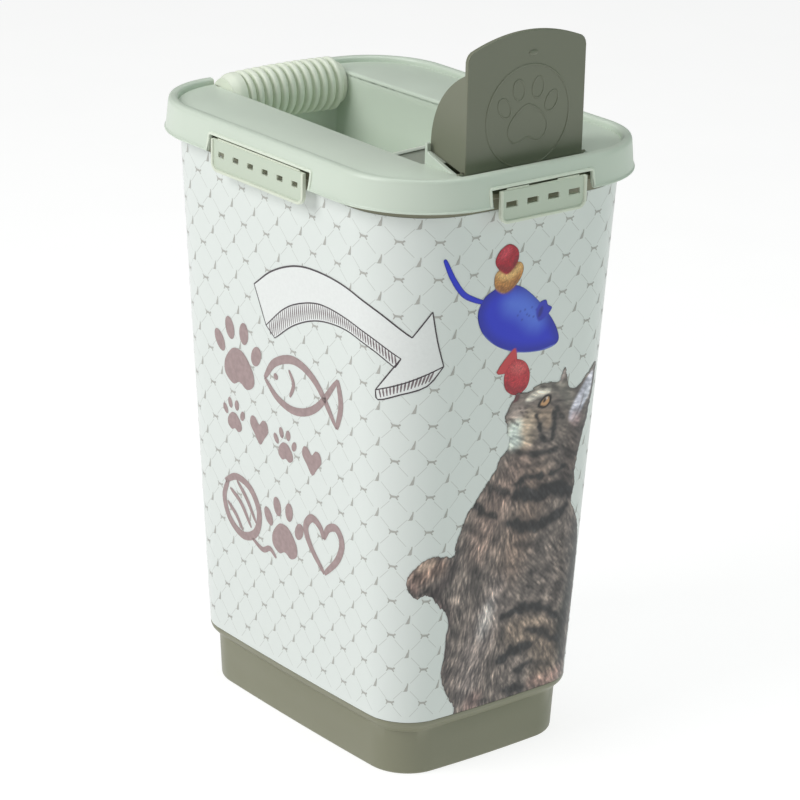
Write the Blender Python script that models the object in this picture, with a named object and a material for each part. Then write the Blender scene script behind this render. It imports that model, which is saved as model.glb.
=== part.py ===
"""Pet food bin: a tapered tub with a printed sleeve, a clip-on lid, a carry grip and a pour flap.

The tub stands on z = 0 with its origin under its middle. X is the width, Y the length, and the
pour flap is at -Y. Sizes are in millimetres here and are scaled to metres as meshes are made.
"""
import math

import bmesh
import bpy
from mathutils import Matrix, Vector

MM = 0.001
GAP = 0.3                   # clearance between touching pieces

# --- plan outline ------------------------------------------------------------------------------
CORNER_STEPS = 8            # segments in each rounded corner
SIDE_STEPS = 4              # segments along each side

# --- tub ---------------------------------------------------------------------------------------
WALL_LOW_Z, WALL_LOW = 44.0, (89.2, 130.4, 35.0, 1.2)      # half x, half y, corner radius, bow
WALL_TOP_Z, WALL_TOP = 436.0, (113.0, 154.2, 60.0, 1.2)
WALL_THICK = 2.0
FLOOR_Z = 3.0
PLINTH_INSET = 4.9          # from the foot of the wall in to the top of the plinth
PLINTH_TAPER = 2.0
PLINTH_TOP_Z = 36.0
PLINTH_CORNER_GROWTH = 5.0  # the plinth's corners are rounder than the wall's
SHOULDER = ((39.6, 2.6), (42.2, 0.5))   # height and inset of the curve from plinth to wall
FLOOR_CHAMFER = 3.0
FOOT_ROUND = 2.2
RIM_TOP_Z = 449.4
RIM_FLANGE = 5.2
RIM_FLANGE_Z = (443.0, 447.4)
RIM_LEAD = 2.0              # the wall stays plain up to this far under the flange
RIM_ROUND = 1.2
RIM_MOUTH = (-1.4, 1.8, 8.0)    # outer inset, inner inset and depth of the mouth's thicker band

# --- printed sleeve ----------------------------------------------------------------------------
SLEEVE_Z = (46.0, 433.0)
SLEEVE_THICK = 0.6
SLEEVE_SEAT = SLEEVE_THICK + GAP

# --- lid ---------------------------------------------------------------------------------------
BEAD = (117.4, 158.7, 61.3, 0.0)    # plan outline along the bead's crest
BEAD_Z = 462.0
DECK_Z = 458.0
LID_THICK = 2.2
SKIRT_Z = 439.0
SKIRT_OUT = 7.1
SKIRT_CORNER_GROWTH = 2.0
SEAT_RIB_Z = RIM_TOP_Z + GAP

# --- hand recess -------------------------------------------------------------------------------
RECESS_BACK_Y, RECESS_FRONT_Y = 144.0, -67.0
RECESS_HALF_BACK, RECESS_HALF_FRONT = 53.0, 57.4
RECESS_FLOOR_Z = 398.0
RECESS_FLAT_Y = 70.0        # the floor is level behind this and rises in front of it
RECESS_CREST_Z = 456.2
RECESS_STEPS = 12
CREST_FOOT_Z = 442.0          # foot of the wall that closes the recess's front end
RECESS_CORNER_R = 6.0
SHELF_Z = (450.0, 452.3)    # ledge behind the recess, under the grip
SHELF_HALF, SHELF_BACK_Y = 55.5, 161.6

# --- carry grip --------------------------------------------------------------------------------
GRIP_Y, GRIP_Z = 141.0, 447.0
GRIP_HALF_Y, GRIP_HALF_Z = 17.5, 20.5
GRIP_ARCH = 1.5
GRIP_CORE = 0.78            # core size as a share of a rib's
RIB_COUNT, RIB_PITCH, RIB_FIRST_X = 12, 7.35, -36.4
RIB_HALF_THICK = 2.3
GRIP_END_X = RECESS_HALF_BACK - GAP
GRIP_SEGMENTS = 28

# --- pour flap ---------------------------------------------------------------------------------
HINGE_Y, HINGE_Z = -140.5, 457.5
KNUCKLE_R = 2.4
PIN_R, PIN_REACH = 1.6, 57.0
PANEL_HALF = 52.5
PANEL_FRONT_Y = -143.0
PANEL_THICK = 2.2
PANEL_EDGE = 1.2            # depth of the rolled edge behind the panel
FLAP_SIDE_Z = 537.0         # where the straight sides end
FLAP_TOP_Z = 552.0
FLAP_SHOULDER = (4.0, 5.5)  # the corner between side and arched top, across and up
CHEEK_FOOT = (-104.5, 466.4)
CHEEK_HEEL = (-136.5, 458.8)
CHEEK_TIP_Z = 526.5
CHEEK_BULGE = 11.0

# --- pour opening ------------------------------------------------------------------------------
OPENING_HALF = 54.2
OPENING_FRONT_Y = -143.4
OPENING_ARCH = 4.0
GUARD_HALF = (54.2, 57.4)
GUARD_Y = (-137.0, -106.0)   # front foot and post
GUARD_RISE = 9.5
POST_RISE, POST_HALF = 15.0, 1.3
BOSS_REACH, BOSS_HALF_Y, BOSS_FOOT_Z = 58.6, 4.2, 451.5

# --- clips -------------------------------------------------------------------------------------
CLIP_Z = (426.0, 449.6)
CLIP_HINGE_Z = 450.4
NOTCH_TOP_Z = 450.8
CLIP_THICK = 2.0
CLIP_EDGE = 1.2             # height of the raised edge on the plate
CLIP_EDGE_WIDE = 2.6
CLIP_CORNER_R = 7.0
WEB_THICK = 0.9
WINDOW_Z = (437.2, 441.2)
HOOK_Z = (433.6, 436.8)
HOOK_REACH = 2.6
# plate face distance from the middle, half length, notch half length, windows, window width, pitch
LONG_CLIP = (123.3, 55.0, 60.0, 6, 7.0, 17.6)
SHORT_CLIP = (164.6, 38.5, 45.0, 4, 10.0, 18.7)
SHORT_CLIP_SLOT = 26.0      # gap in the middle of a short clip's hinge web
WEB_MARGIN = 6.0            # the web stops short of the plate's ends
NOTCH_DEPTH = 4.6           # how far a notch reaches in behind a plate's face

OLIVE = (0.240, 0.228, 0.160)
DARK_OLIVE = (0.150, 0.148, 0.108)
SAGE = (0.560, 0.640, 0.540)
PALE = (0.800, 0.820, 0.800)


def material(name, colour, roughness):
    """A plain plastic of one colour."""
    mat = bpy.data.materials.new(name)
    mat.use_nodes = True
    shader = mat.node_tree.nodes["Principled BSDF"]
    shader.inputs["Base Color"].default_value = (*colour, 1.0)
    shader.inputs["Roughness"].default_value = roughness
    shader.inputs["Metallic"].default_value = 0.0
    return mat


def add_object(name, bm, mat=None, origin=(0.0, 0.0, 0.0)):
    """Link a bmesh made in millimetres as an object in metres, with its origin on a point."""
    bm.normal_update()
    bmesh.ops.recalc_face_normals(bm, faces=bm.faces)
    place = Vector(origin)
    bmesh.ops.translate(bm, vec=-place, verts=bm.verts)
    bmesh.ops.scale(bm, vec=(MM, MM, MM), verts=bm.verts)
    mesh = bpy.data.meshes.new(name)
    bm.to_mesh(mesh)
    bm.free()
    obj = bpy.data.objects.new(name, mesh)
    obj.location = place * MM
    bpy.context.scene.collection.objects.link(obj)
    if mat:
        mesh.materials.append(mat)
        mesh.shade_smooth()
        mesh.set_sharp_from_angle(angle=math.radians(35))
    return obj


def boolean(obj, cutter, operation="DIFFERENCE"):
    """Add an exact Boolean and hide its cutter."""
    mod = obj.modifiers.new(operation.title(), "BOOLEAN")
    mod.solver = "EXACT"
    mod.operation = operation
    mod.object = cutter
    cutter.hide_render = True
    cutter.display_type = "WIRE"
    cutter.hide_set(True)


def outline(half_x, half_y, radius, bow, z):
    """Points of a rounded rectangle whose sides bow out by a small amount at the middle."""
    side_x, side_y = half_x - bow, half_y - bow
    points = []
    for quarter in range(4):
        sx, sy = ((1, 1), (-1, 1), (-1, -1), (1, -1))[quarter]
        for step in range(CORNER_STEPS + 1):
            turn = math.pi / 2 * (quarter + step / CORNER_STEPS)
            points.append(Vector((sx * (side_x - radius) + radius * math.cos(turn),
                                  sy * (side_y - radius) + radius * math.sin(turn), z)))
        start = points[-1]
        along_x = quarter % 2 == 0
        half_run = (side_x if along_x else side_y) - radius
        for step in range(1, SIDE_STEPS):
            t = 2 * step / SIDE_STEPS - 1
            push = bow * (1 - t * t)
            if along_x:
                points.append(Vector((-sx * half_run * t, start.y + sy * push, z)))
            else:
                points.append(Vector((start.x + sx * push, -sy * half_run * t, z)))
    return points


def loft(rings, close_ends=True):
    """Skin a row of rings that have the same number of points."""
    bm = bmesh.new()
    loops = [[bm.verts.new(p) for p in ring] for ring in rings]
    count = len(loops[0])
    for low, high in zip(loops, loops[1:]):
        for i in range(count):
            j = (i + 1) % count
            bm.faces.new((low[i], low[j], high[j], high[i]))
    if close_ends:
        bm.faces.new(list(reversed(loops[0])))
        bm.faces.new(loops[-1])
    return bm


def loft_loop(rings):
    """Skin a row of rings round to the first ring again."""
    bm = loft(rings + [rings[0]], close_ends=False)
    bmesh.ops.remove_doubles(bm, verts=bm.verts, dist=1e-4)
    return bm


def prism(points, direction):
    """Extrude a flat outline along a direction."""
    bm = bmesh.new()
    face = bm.faces.new([bm.verts.new(p) for p in points])
    made = bmesh.ops.extrude_face_region(bm, geom=[face])
    moved = [item for item in made["geom"] if isinstance(item, bmesh.types.BMVert)]
    bmesh.ops.translate(bm, vec=direction, verts=moved)
    return bm


def box(low, high):
    """A box between two corners."""
    bm = bmesh.new()
    centre = (Vector(low) + Vector(high)) / 2
    size = Vector(high) - Vector(low)
    bmesh.ops.create_cube(bm, size=1.0, matrix=Matrix.Translation(centre) @ Matrix.Diagonal((*size, 1.0)))
    return bm


def rod(x_low, x_high, y, z, radius, segments=20):
    """A cylinder along X."""
    bm = bmesh.new()
    place = Matrix.Translation(((x_low + x_high) / 2, y, z)) @ Matrix.Rotation(math.pi / 2, 4, "Y")
    bmesh.ops.create_cone(bm, cap_ends=True, segments=segments, radius1=radius, radius2=radius,
                          depth=x_high - x_low, matrix=place)
    return bm


def wall(z, inset=0.0):
    """The tub's outer wall at a height, moved in by an inset."""
    share = (z - WALL_LOW_Z) / (WALL_TOP_Z - WALL_LOW_Z)
    half_x, half_y, radius, bow = (low + (high - low) * share for low, high in zip(WALL_LOW, WALL_TOP))
    return outline(half_x - inset, half_y - inset, radius - inset, bow, z)


def plinth(z, inset=0.0):
    """The plinth's outer wall at a height, moved in by an inset."""
    half_x, half_y, radius, bow = WALL_LOW
    back = PLINTH_INSET + PLINTH_TAPER * (1 - z / PLINTH_TOP_Z) + inset
    return outline(half_x - back, half_y - back, radius + PLINTH_CORNER_GROWTH - back, bow, z)


def make_tub(mat):
    """The tub: plinth, shoulder, wall with a shallow seat for the sleeve, and a flanged rim."""
    seat_low, seat_high = SLEEVE_Z[0] - GAP, SLEEVE_Z[1] + GAP
    flange_low, flange_high = RIM_FLANGE_Z
    mouth_outer, mouth_inner, mouth_depth = RIM_MOUTH
    outer = [plinth(0.0, FOOT_ROUND), plinth(FOOT_ROUND * 0.3, FOOT_ROUND * 0.3), plinth(FOOT_ROUND),
             plinth(PLINTH_TOP_Z)]
    outer += [wall(z, inset) for z, inset in SHOULDER]
    outer += [wall(WALL_LOW_Z), wall(seat_low), wall(seat_low, SLEEVE_SEAT), wall(seat_high, SLEEVE_SEAT),
              wall(seat_high), wall(flange_low - RIM_LEAD), wall(flange_low, RIM_ROUND / 2 - RIM_FLANGE),
              wall(flange_low + RIM_ROUND / 2, -RIM_FLANGE), wall(flange_high - RIM_ROUND * 0.7, -RIM_FLANGE),
              wall(flange_high, RIM_ROUND - RIM_FLANGE), wall(RIM_TOP_Z, mouth_outer)]
    inner_inset = SLEEVE_SEAT + WALL_THICK
    inner = [wall(RIM_TOP_Z, mouth_inner), wall(RIM_TOP_Z - mouth_depth, inner_inset),
             wall(SLEEVE_Z[0], inner_inset), plinth(PLINTH_TOP_Z - 1.0, WALL_THICK),
             plinth(FLOOR_Z + FLOOR_CHAMFER, WALL_THICK), plinth(FLOOR_Z, WALL_THICK + FLOOR_CHAMFER)]
    return add_object("bin_body", loft(outer + inner), mat)


def make_sleeve(mat):
    """The printed sleeve: a thin closed band round the tub's wall."""
    rings = [wall(SLEEVE_Z[0]), wall(SLEEVE_Z[1]), wall(SLEEVE_Z[1], SLEEVE_THICK),
             wall(SLEEVE_Z[0], SLEEVE_THICK)]
    return add_object("printed_sleeve", loft_loop(rings), mat)


def bead_ring(offset, z):
    """The lid's plan outline at an offset outwards from the bead's crest."""
    half_x, half_y, radius, bow = BEAD
    growth = SKIRT_CORNER_GROWTH * max(offset, 0.0) + min(offset, 0.0)
    return outline(half_x + offset, half_y + offset, radius + growth, bow, z)


def recess_half(y):
    """Half the hand recess's width, which grows towards the front."""
    share = (RECESS_BACK_Y - y) / (RECESS_BACK_Y - RECESS_FRONT_Y)
    return RECESS_HALF_BACK + (RECESS_HALF_FRONT - RECESS_HALF_BACK) * share


def recess_floor(y):
    """Height of the recess's floor: level at the back, then rising in a curve to the crest."""
    share = max(0.0, (RECESS_FLAT_Y - y) / (RECESS_FLAT_Y - RECESS_FRONT_Y))
    return RECESS_FLOOR_Z + (RECESS_CREST_Z - RECESS_FLOOR_Z) * share ** 3


def recess_block(grow, top_z):
    """The recess as a solid, grown on its sides, back and floor by a wall thickness."""
    back_y = RECESS_BACK_Y + grow
    run = RECESS_FRONT_Y - RECESS_FLAT_Y
    ys = [back_y, (back_y + RECESS_FLAT_Y) / 2]
    ys += [RECESS_FLAT_Y + run * i / RECESS_STEPS for i in range(RECESS_STEPS + 1)]
    rings = []
    for y in ys:
        half, floor = recess_half(y) + grow, recess_floor(y) - grow
        rounding = min(RECESS_CORNER_R, (top_z - floor) * 0.4)
        ring = [Vector((half, y, top_z)), Vector((half, y, floor + rounding))]
        ring += [Vector((half - rounding * (1 - math.cos(math.radians(a))), y,
                         floor + rounding * (1 - math.sin(math.radians(a))))) for a in (30, 60)]
        ring.append(Vector((half - rounding, y, floor)))
        ring += [Vector((-p.x, p.y, p.z)) for p in reversed(ring)]
        rings.append(ring)
    return loft(rings)


def opening_outline(z):
    """The pour opening in plan: wider behind the guards' posts, rear edge arched backwards."""
    wide, step_y = RECESS_HALF_FRONT, GUARD_Y[1] + POST_HALF + GAP
    right = [Vector((OPENING_HALF, OPENING_FRONT_Y, z)), Vector((OPENING_HALF, step_y, z)), Vector((wide, step_y, z)),
             Vector((wide, RECESS_FRONT_Y, z))]
    points = list(right)
    for step in range(1, 8):
        x = wide * (1 - step / 4)
        points.append(Vector((x, RECESS_FRONT_Y + OPENING_ARCH * (1 - (x / wide) ** 2), z)))
    points += [Vector((-p.x, p.y, p.z)) for p in reversed(right)]
    return points


def guard(side):
    """A low guard beside the opening that rises to a short post."""
    low_x, high_x = sorted((side * GUARD_HALF[0], side * GUARD_HALF[1]))
    foot_z = DECK_Z - 1.0
    front, peak = GUARD_Y
    peak_z, post_z = DECK_Z + GUARD_RISE, DECK_Z + POST_RISE
    profile = [(front, foot_z), (front, DECK_Z), (peak - POST_HALF, peak_z), (peak - POST_HALF, post_z),
               (peak + POST_HALF, post_z), (peak + POST_HALF, foot_z)]
    return prism([Vector((low_x, y, z)) for y, z in profile], Vector((high_x - low_x, 0, 0)))


def clip_frames():
    """Each clip's name, sizes and the turn that takes a clip built facing -Y to its side."""
    return (("clip_front", SHORT_CLIP, 0.0), ("clip_right", LONG_CLIP, 90.0),
            ("clip_back", SHORT_CLIP, 180.0), ("clip_left", LONG_CLIP, 270.0))


def make_lid(mat):
    """The lid: deck, bead and skirt, the hand recess, the pour opening and four clip notches."""
    section = [(-5.6, DECK_Z), (-4.6, DECK_Z + 1.2), (-2.4, BEAD_Z - 0.6), (0.0, BEAD_Z),
               (1.8, BEAD_Z - 1.4), (2.9, BEAD_Z - 4.5), (4.2, 449.0), (5.2, 442.0),
               (SKIRT_OUT, SKIRT_Z + 1.0), (SKIRT_OUT, SKIRT_Z),
               (5.0, SKIRT_Z), (3.0, 442.0), (2.0, 449.0), (0.7, 457.0), (-0.8, BEAD_Z - LID_THICK - 0.5),
               (-3.0, 458.6), (-3.2, SEAT_RIB_Z), (-5.2, SEAT_RIB_Z), (-5.4, DECK_Z - LID_THICK)]
    lid = add_object("lid_shell", loft([bead_ring(*point) for point in section]), mat)
    crest_half = RECESS_HALF_FRONT + LID_THICK - 0.2
    adds = [("recess_wall", recess_block(LID_THICK, DECK_Z - 0.4)),
            ("grip_shelf", box((-SHELF_HALF, RECESS_BACK_Y, SHELF_Z[0]), (SHELF_HALF, SHELF_BACK_Y, SHELF_Z[1]))),
            ("guard_left", guard(-1)), ("guard_right", guard(1)),
            ("crest_wall", box((-crest_half, RECESS_FRONT_Y - GAP, CREST_FOOT_Z),
                               (crest_half, RECESS_FRONT_Y + OPENING_ARCH + LID_THICK, DECK_Z - 0.6)))]
    for side in (-1, 1):
        low_x, high_x = sorted((side * OPENING_HALF, side * BOSS_REACH))
        adds.append((f"boss_{side}", box((low_x, HINGE_Y - BOSS_HALF_Y, BOSS_FOOT_Z),
                                         (high_x, HINGE_Y + BOSS_HALF_Y, DECK_Z - 0.6))))
    for name, shape in adds:
        boolean(lid, add_object(f"add_{name}", shape), "UNION")
    cuts = [("recess", recess_block(0.0, BEAD_Z + 20.0)),
            ("opening", prism(opening_outline(440.0), Vector((0, 0, 40.0)))),
            ("grip_bed", box((-RECESS_HALF_BACK, RECESS_BACK_Y - 1.0, SHELF_Z[1]), (RECESS_HALF_BACK, 175.0, 480.0))),
            ("pin_bore", rod(-PIN_REACH - GAP, PIN_REACH + GAP, HINGE_Y, HINGE_Z, PIN_R + GAP))]
    for name, sizes, turn in clip_frames():
        notch = sizes[2]
        shape = box((-notch, -sizes[0] - 12.0, SKIRT_Z - 5.0), (notch, -sizes[0] + NOTCH_DEPTH, NOTCH_TOP_Z))
        bmesh.ops.rotate(shape, cent=(0, 0, 0), matrix=Matrix.Rotation(math.radians(turn), 3, "Z"),
                         verts=shape.verts)
        cuts.append((f"notch_{name}", shape))
    for name, shape in cuts:
        boolean(lid, add_object(f"cut_{name}", shape))
    return lid


def grip_ring(x, size):
    """An oval ring of the grip at a place along it, as a share of a rib's size."""
    lift = GRIP_ARCH * (1 - (x / GRIP_END_X) ** 2)
    ring = []
    for i in range(GRIP_SEGMENTS):
        turn = 2 * math.pi * i / GRIP_SEGMENTS
        ring.append(Vector((x, GRIP_Y + size * GRIP_HALF_Y * math.cos(turn),
                            GRIP_Z + lift + size * GRIP_HALF_Z * math.sin(turn))))
    return ring


def make_grip(mat):
    """The carry grip: a smooth end cap and a row of ribs on one core."""
    rings = [grip_ring(-GRIP_END_X, 0.86), grip_ring(-GRIP_END_X + 2.5, 0.93),
             grip_ring(-GRIP_END_X + 6.0, 0.97), grip_ring(RIB_FIRST_X - 5.0, 0.99),
             grip_ring(RIB_FIRST_X - 4.2, GRIP_CORE)]
    for i in range(RIB_COUNT):
        x = RIB_FIRST_X + RIB_PITCH * i
        rings += [grip_ring(x - RIB_HALF_THICK, GRIP_CORE), grip_ring(x - RIB_HALF_THICK + 0.7, 0.965),
                  grip_ring(x, 1.0), grip_ring(x + RIB_HALF_THICK - 0.7, 0.965),
                  grip_ring(x + RIB_HALF_THICK, GRIP_CORE)]
    rings.append(grip_ring(GRIP_END_X, GRIP_CORE))
    grip = add_object("carry_grip", loft(rings), mat)
    low = (-70.0, RECESS_BACK_Y - GAP, 380.0)
    boolean(grip, add_object("cut_grip_seat", box(low, (70.0, 190.0, SHELF_Z[1] + GAP))))
    return grip


def flap_face(edge, y):
    """The flap's outline seen from the front, moved in by an edge: straight sides, arched top."""
    half, side_z, top_z = PANEL_HALF - edge, FLAP_SIDE_Z - edge * 0.5, FLAP_TOP_Z - edge
    across, up = FLAP_SHOULDER
    points = [Vector((-half, y, 440.0)), Vector((half, y, 440.0)), Vector((half, y, side_z))]
    steps = 12
    for i in range(steps + 1):
        t = 1 - 2 * i / steps
        z = side_z + up + (top_z - side_z - up) * (1 - t * t)
        points.append(Vector(((half - across) * t, y, z)))
    points.append(Vector((-half, y, side_z)))
    return points


def flap_profile():
    """The flap's outline seen from the side: panel, curved cheek edge and cheek foot."""
    back_y = PANEL_FRONT_Y + PANEL_THICK + PANEL_EDGE
    start, end = Vector((back_y, CHEEK_TIP_Z)), Vector(CHEEK_FOOT)
    across = (end - start).orthogonal().normalized()
    if across.x < 0:
        across = -across
    points = [(PANEL_FRONT_Y, HINGE_Z), (PANEL_FRONT_Y, FLAP_TOP_Z + 1.0), (back_y, FLAP_TOP_Z + 1.0)]
    steps = 10
    for i in range(steps + 1):
        t = i / steps
        bulge = CHEEK_BULGE * 4 * t * (1 - t)
        point = start.lerp(end, t) + across * bulge
        points.append((point.x, point.y))
    points += [CHEEK_HEEL, (HINGE_Y + 1.6, HINGE_Z)]
    return [Vector((-PANEL_HALF, y, z)) for y, z in points]


def make_flap(mat):
    """The pour flap: arched panel, two cheeks, hinge knuckle and two pins."""
    flap = add_object("pour_flap", prism(flap_profile(), Vector((2 * PANEL_HALF, 0, 0))), mat,
                      origin=(0, HINGE_Y, HINGE_Z))
    face = prism(flap_face(0.0, PANEL_FRONT_Y - 5.0), Vector((0, 70, 0)))
    boolean(flap, add_object("keep_flap_face", face), "INTERSECT")
    hollow = prism(flap_face(PANEL_THICK, PANEL_FRONT_Y + PANEL_THICK), Vector((0, 70, 0)))
    boolean(flap, add_object("cut_flap_hollow", hollow))
    knuckle = rod(-PANEL_HALF, PANEL_HALF, HINGE_Y, HINGE_Z, KNUCKLE_R)
    boolean(flap, add_object("add_knuckle", knuckle), "UNION")
    boolean(flap, add_object("add_pins", rod(-PIN_REACH, PIN_REACH, HINGE_Y, HINGE_Z, PIN_R)), "UNION")
    return flap


def clip_plate(half, grow_y, edge):
    """A clip's plate outline with rounded lower corners, facing -Y."""
    low, high = CLIP_Z[0] + edge, CLIP_Z[1]
    half, radius = half - edge, CLIP_CORNER_R - edge
    points = [Vector((half, grow_y, high)), Vector((-half, grow_y, high))]
    for start, sx in ((180, -1), (270, 1)):
        for step in range(7):
            turn = math.radians(start + 15 * step)
            points.append(Vector((sx * (half - radius) + radius * math.cos(turn), grow_y,
                                  low + radius + radius * math.sin(turn))))
    return points


def make_clip(name, sizes, turn, mat):
    """A clip: windowed plate with a raised edge, hooks behind it and a thin hinge web on top."""
    face, half, _, windows, window_wide, pitch = sizes
    spin = Matrix.Rotation(math.radians(turn), 3, "Z")

    def turned(shape):
        bmesh.ops.rotate(shape, cent=(0, 0, 0), matrix=spin, verts=shape.verts)
        return shape

    plate = prism(clip_plate(half, -face - CLIP_EDGE, 0.0), Vector((0, CLIP_EDGE + CLIP_THICK, 0)))
    hinge = spin @ Vector((0, -face + CLIP_THICK / 2, CLIP_HINGE_Z))
    clip = add_object(name, turned(plate), mat, origin=hinge)
    field = clip_plate(half, -face - CLIP_EDGE - 3.0, CLIP_EDGE_WIDE)
    for point in field[:2]:
        point.z += 5.0
    boolean(clip, add_object(f"cut_{name}_field", turned(prism(field, Vector((0, 3.0 + CLIP_EDGE, 0))))))
    inner_y = -face + CLIP_THICK
    reach = half - WEB_MARGIN
    web_halves = [(-reach, reach)]
    if sizes is SHORT_CLIP:
        web_halves = [(-reach, -SHORT_CLIP_SLOT / 2), (SHORT_CLIP_SLOT / 2, reach)]
    for i, (low_x, high_x) in enumerate(web_halves):
        web = box((low_x, inner_y - CLIP_THICK / 2 - WEB_THICK / 2, CLIP_Z[1] - 1.5),
                  (high_x, inner_y - CLIP_THICK / 2 + WEB_THICK / 2, NOTCH_TOP_Z - GAP))
        boolean(clip, add_object(f"add_{name}_web_{i}", turned(web)), "UNION")
    for i in range(windows):
        x = pitch * (i - (windows - 1) / 2)
        hook = box((x - window_wide / 2, inner_y - 0.8, HOOK_Z[0]),
                   (x + window_wide / 2, inner_y + HOOK_REACH, HOOK_Z[1]))
        boolean(clip, add_object(f"add_{name}_hook_{i}", turned(hook)), "UNION")
        window = box((x - window_wide / 2, -face - 5.0, WINDOW_Z[0]),
                     (x + window_wide / 2, -face + 8.0, WINDOW_Z[1]))
        boolean(clip, add_object(f"cut_{name}_window_{i}", turned(window)))
    return clip


def main():
    """Clear the scene and build every piece."""
    for obj in list(bpy.data.objects):
        bpy.data.objects.remove(obj, do_unlink=True)
    make_tub(material("tub_plastic", OLIVE, 0.45))
    make_sleeve(material("sleeve_film", PALE, 0.40))
    make_lid(material("lid_plastic", SAGE, 0.38))
    make_grip(material("grip_plastic", SAGE, 0.42))
    make_flap(material("flap_plastic", DARK_OLIVE, 0.40))
    for name, sizes, turn in clip_frames():
        make_clip(name, sizes, turn, material(f"{name}_plastic", SAGE, 0.38))


main()
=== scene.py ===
"""The pet food bin's looks: tub and printed sleeve, clip-on lid, carry grip, pour flap and clips.

Sizes are in millimetres and are scaled to metres when a mesh is made. X is the width, Y the
length with the pour flap at -Y, and Z is up from the floor under the middle of the tub.
"""

import logging
import math
from dataclasses import dataclass, field
from enum import Enum
from typing import Callable, Sequence

import bmesh
import bpy
import numpy as np
from mathutils import Matrix, Vector


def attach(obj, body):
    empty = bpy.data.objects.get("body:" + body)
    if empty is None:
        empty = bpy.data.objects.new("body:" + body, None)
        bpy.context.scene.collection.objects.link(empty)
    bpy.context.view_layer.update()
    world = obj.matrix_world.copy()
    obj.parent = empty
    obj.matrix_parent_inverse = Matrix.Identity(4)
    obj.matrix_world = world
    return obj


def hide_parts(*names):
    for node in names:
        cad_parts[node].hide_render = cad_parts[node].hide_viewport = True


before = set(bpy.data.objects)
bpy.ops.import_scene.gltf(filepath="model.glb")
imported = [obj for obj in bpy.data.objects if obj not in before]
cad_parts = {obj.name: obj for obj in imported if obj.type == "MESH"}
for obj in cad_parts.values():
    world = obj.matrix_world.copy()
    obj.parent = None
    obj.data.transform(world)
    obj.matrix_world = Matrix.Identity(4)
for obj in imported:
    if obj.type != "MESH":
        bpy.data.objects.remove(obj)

logging.basicConfig(level=logging.INFO, format="%(name)s: %(message)s")
log = logging.getLogger("bin")

MM = 0.001
Socket = bpy.types.NodeSocket
Point2 = tuple[float, float]

# --- sizes shared by several pieces ---------------------------------------------------------------
PERIMETER = 880.0           # printed width of the sleeve
WALL_LOW_Z, WALL_TOP_Z = 44.0, 436.0
SLEEVE_Z = (46.0, 433.0)
DECK_Z = 458.0
HINGE_Y, HINGE_Z = -140.5, 457.5


class Side(Enum):
    """The bin's four sides, counter-clockwise, with the turn that takes the front to each."""

    FRONT = 0
    RIGHT = 90
    BACK = 180
    LEFT = 270


def srgb(red: float, green: float, blue: float) -> tuple[float, float, float, float]:
    """A linear colour from display values between 0 and 255."""
    parts = [c / 255 for c in (red, green, blue)]
    return (*(c / 12.92 if c <= 0.04045 else ((c + 0.055) / 1.055) ** 2.4 for c in parts), 1.0)


def smoothstep(low: float, high: float, value: np.ndarray) -> np.ndarray:
    """Zero below low, one above high and smooth between."""
    share = np.clip((value - low) / (high - low), 0.0, 1.0)
    return share * share * (3 - 2 * share)


# ==================================================================================================
# Shader building
# ==================================================================================================
class Nodes:
    """Adds nodes to one tree and joins them."""

    def __init__(self, tree: bpy.types.NodeTree) -> None:
        """Work on one tree."""
        self.tree = tree

    def add(self, kind: str, **settings: object) -> bpy.types.Node:
        """Add a node of a kind and set its properties."""
        node = self.tree.nodes.new(kind)
        for name, value in settings.items():
            setattr(node, name, value)
        return node

    def feed(self, socket: Socket, value: object) -> None:
        """Join a socket to another socket, or set it to a plain value."""
        if isinstance(value, Socket):
            self.tree.links.new(value, socket)
        else:
            socket.default_value = value

    def math(self, operation: str, first: object, second: object = 0.0, third: object = 0.0) -> Socket:
        """One arithmetic step on sockets or numbers."""
        node = self.add("ShaderNodeMath", operation=operation)
        for socket, value in zip(node.inputs, (first, second, third)):
            self.feed(socket, value)
        return node.outputs[0]

    def mix(self, factor: object, first: object, second: object, blend: str = "MIX") -> Socket:
        """Mix two colours."""
        node = self.add("ShaderNodeMix", data_type="RGBA", blend_type=blend)
        self.feed(node.inputs["Factor"], factor)
        self.feed(node.inputs[6], first)
        self.feed(node.inputs[7], second)
        return node.outputs[2]

    def spread(self, value: object, low: float, high: float, to_low: float, to_high: float) -> Socket:
        """Map one range of values to another, clamped at its ends."""
        node = self.add("ShaderNodeMapRange")
        for socket, item in zip(node.inputs, (value, low, high, to_low, to_high)):
            self.feed(socket, item)
        return node.outputs[0]

    def noise(self, vector: Socket, scale: float, detail: float = 2.0) -> Socket:
        """A noise value at a scale."""
        node = self.add("ShaderNodeTexNoise")
        self.feed(node.inputs["Vector"], vector)
        node.inputs["Scale"].default_value = scale
        node.inputs["Detail"].default_value = detail
        return node.outputs[0]

    def object_place(self) -> Socket:
        """The object's own coordinates."""
        return self.add("ShaderNodeTexCoord").outputs["Object"]


def new_group(name: str, inputs: Sequence[tuple[str, str]], outputs: Sequence[tuple[str, str]]) -> tuple:
    """A node group with its sockets.

    Args:
        name: the group's name.
        inputs: each input's name and kind, where the kind is Color, Float or Vector.
        outputs: each output's name and kind.

    Returns:
        The group, a Nodes builder for it, its input node and its output node.
    """
    group = bpy.data.node_groups.new(name, "ShaderNodeTree")
    for items, way in ((inputs, "INPUT"), (outputs, "OUTPUT")):
        for label, kind in items:
            group.interface.new_socket(label, in_out=way, socket_type=f"NodeSocket{kind}")
    nodes = Nodes(group)
    return group, nodes, nodes.add("NodeGroupInput"), nodes.add("NodeGroupOutput")


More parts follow.
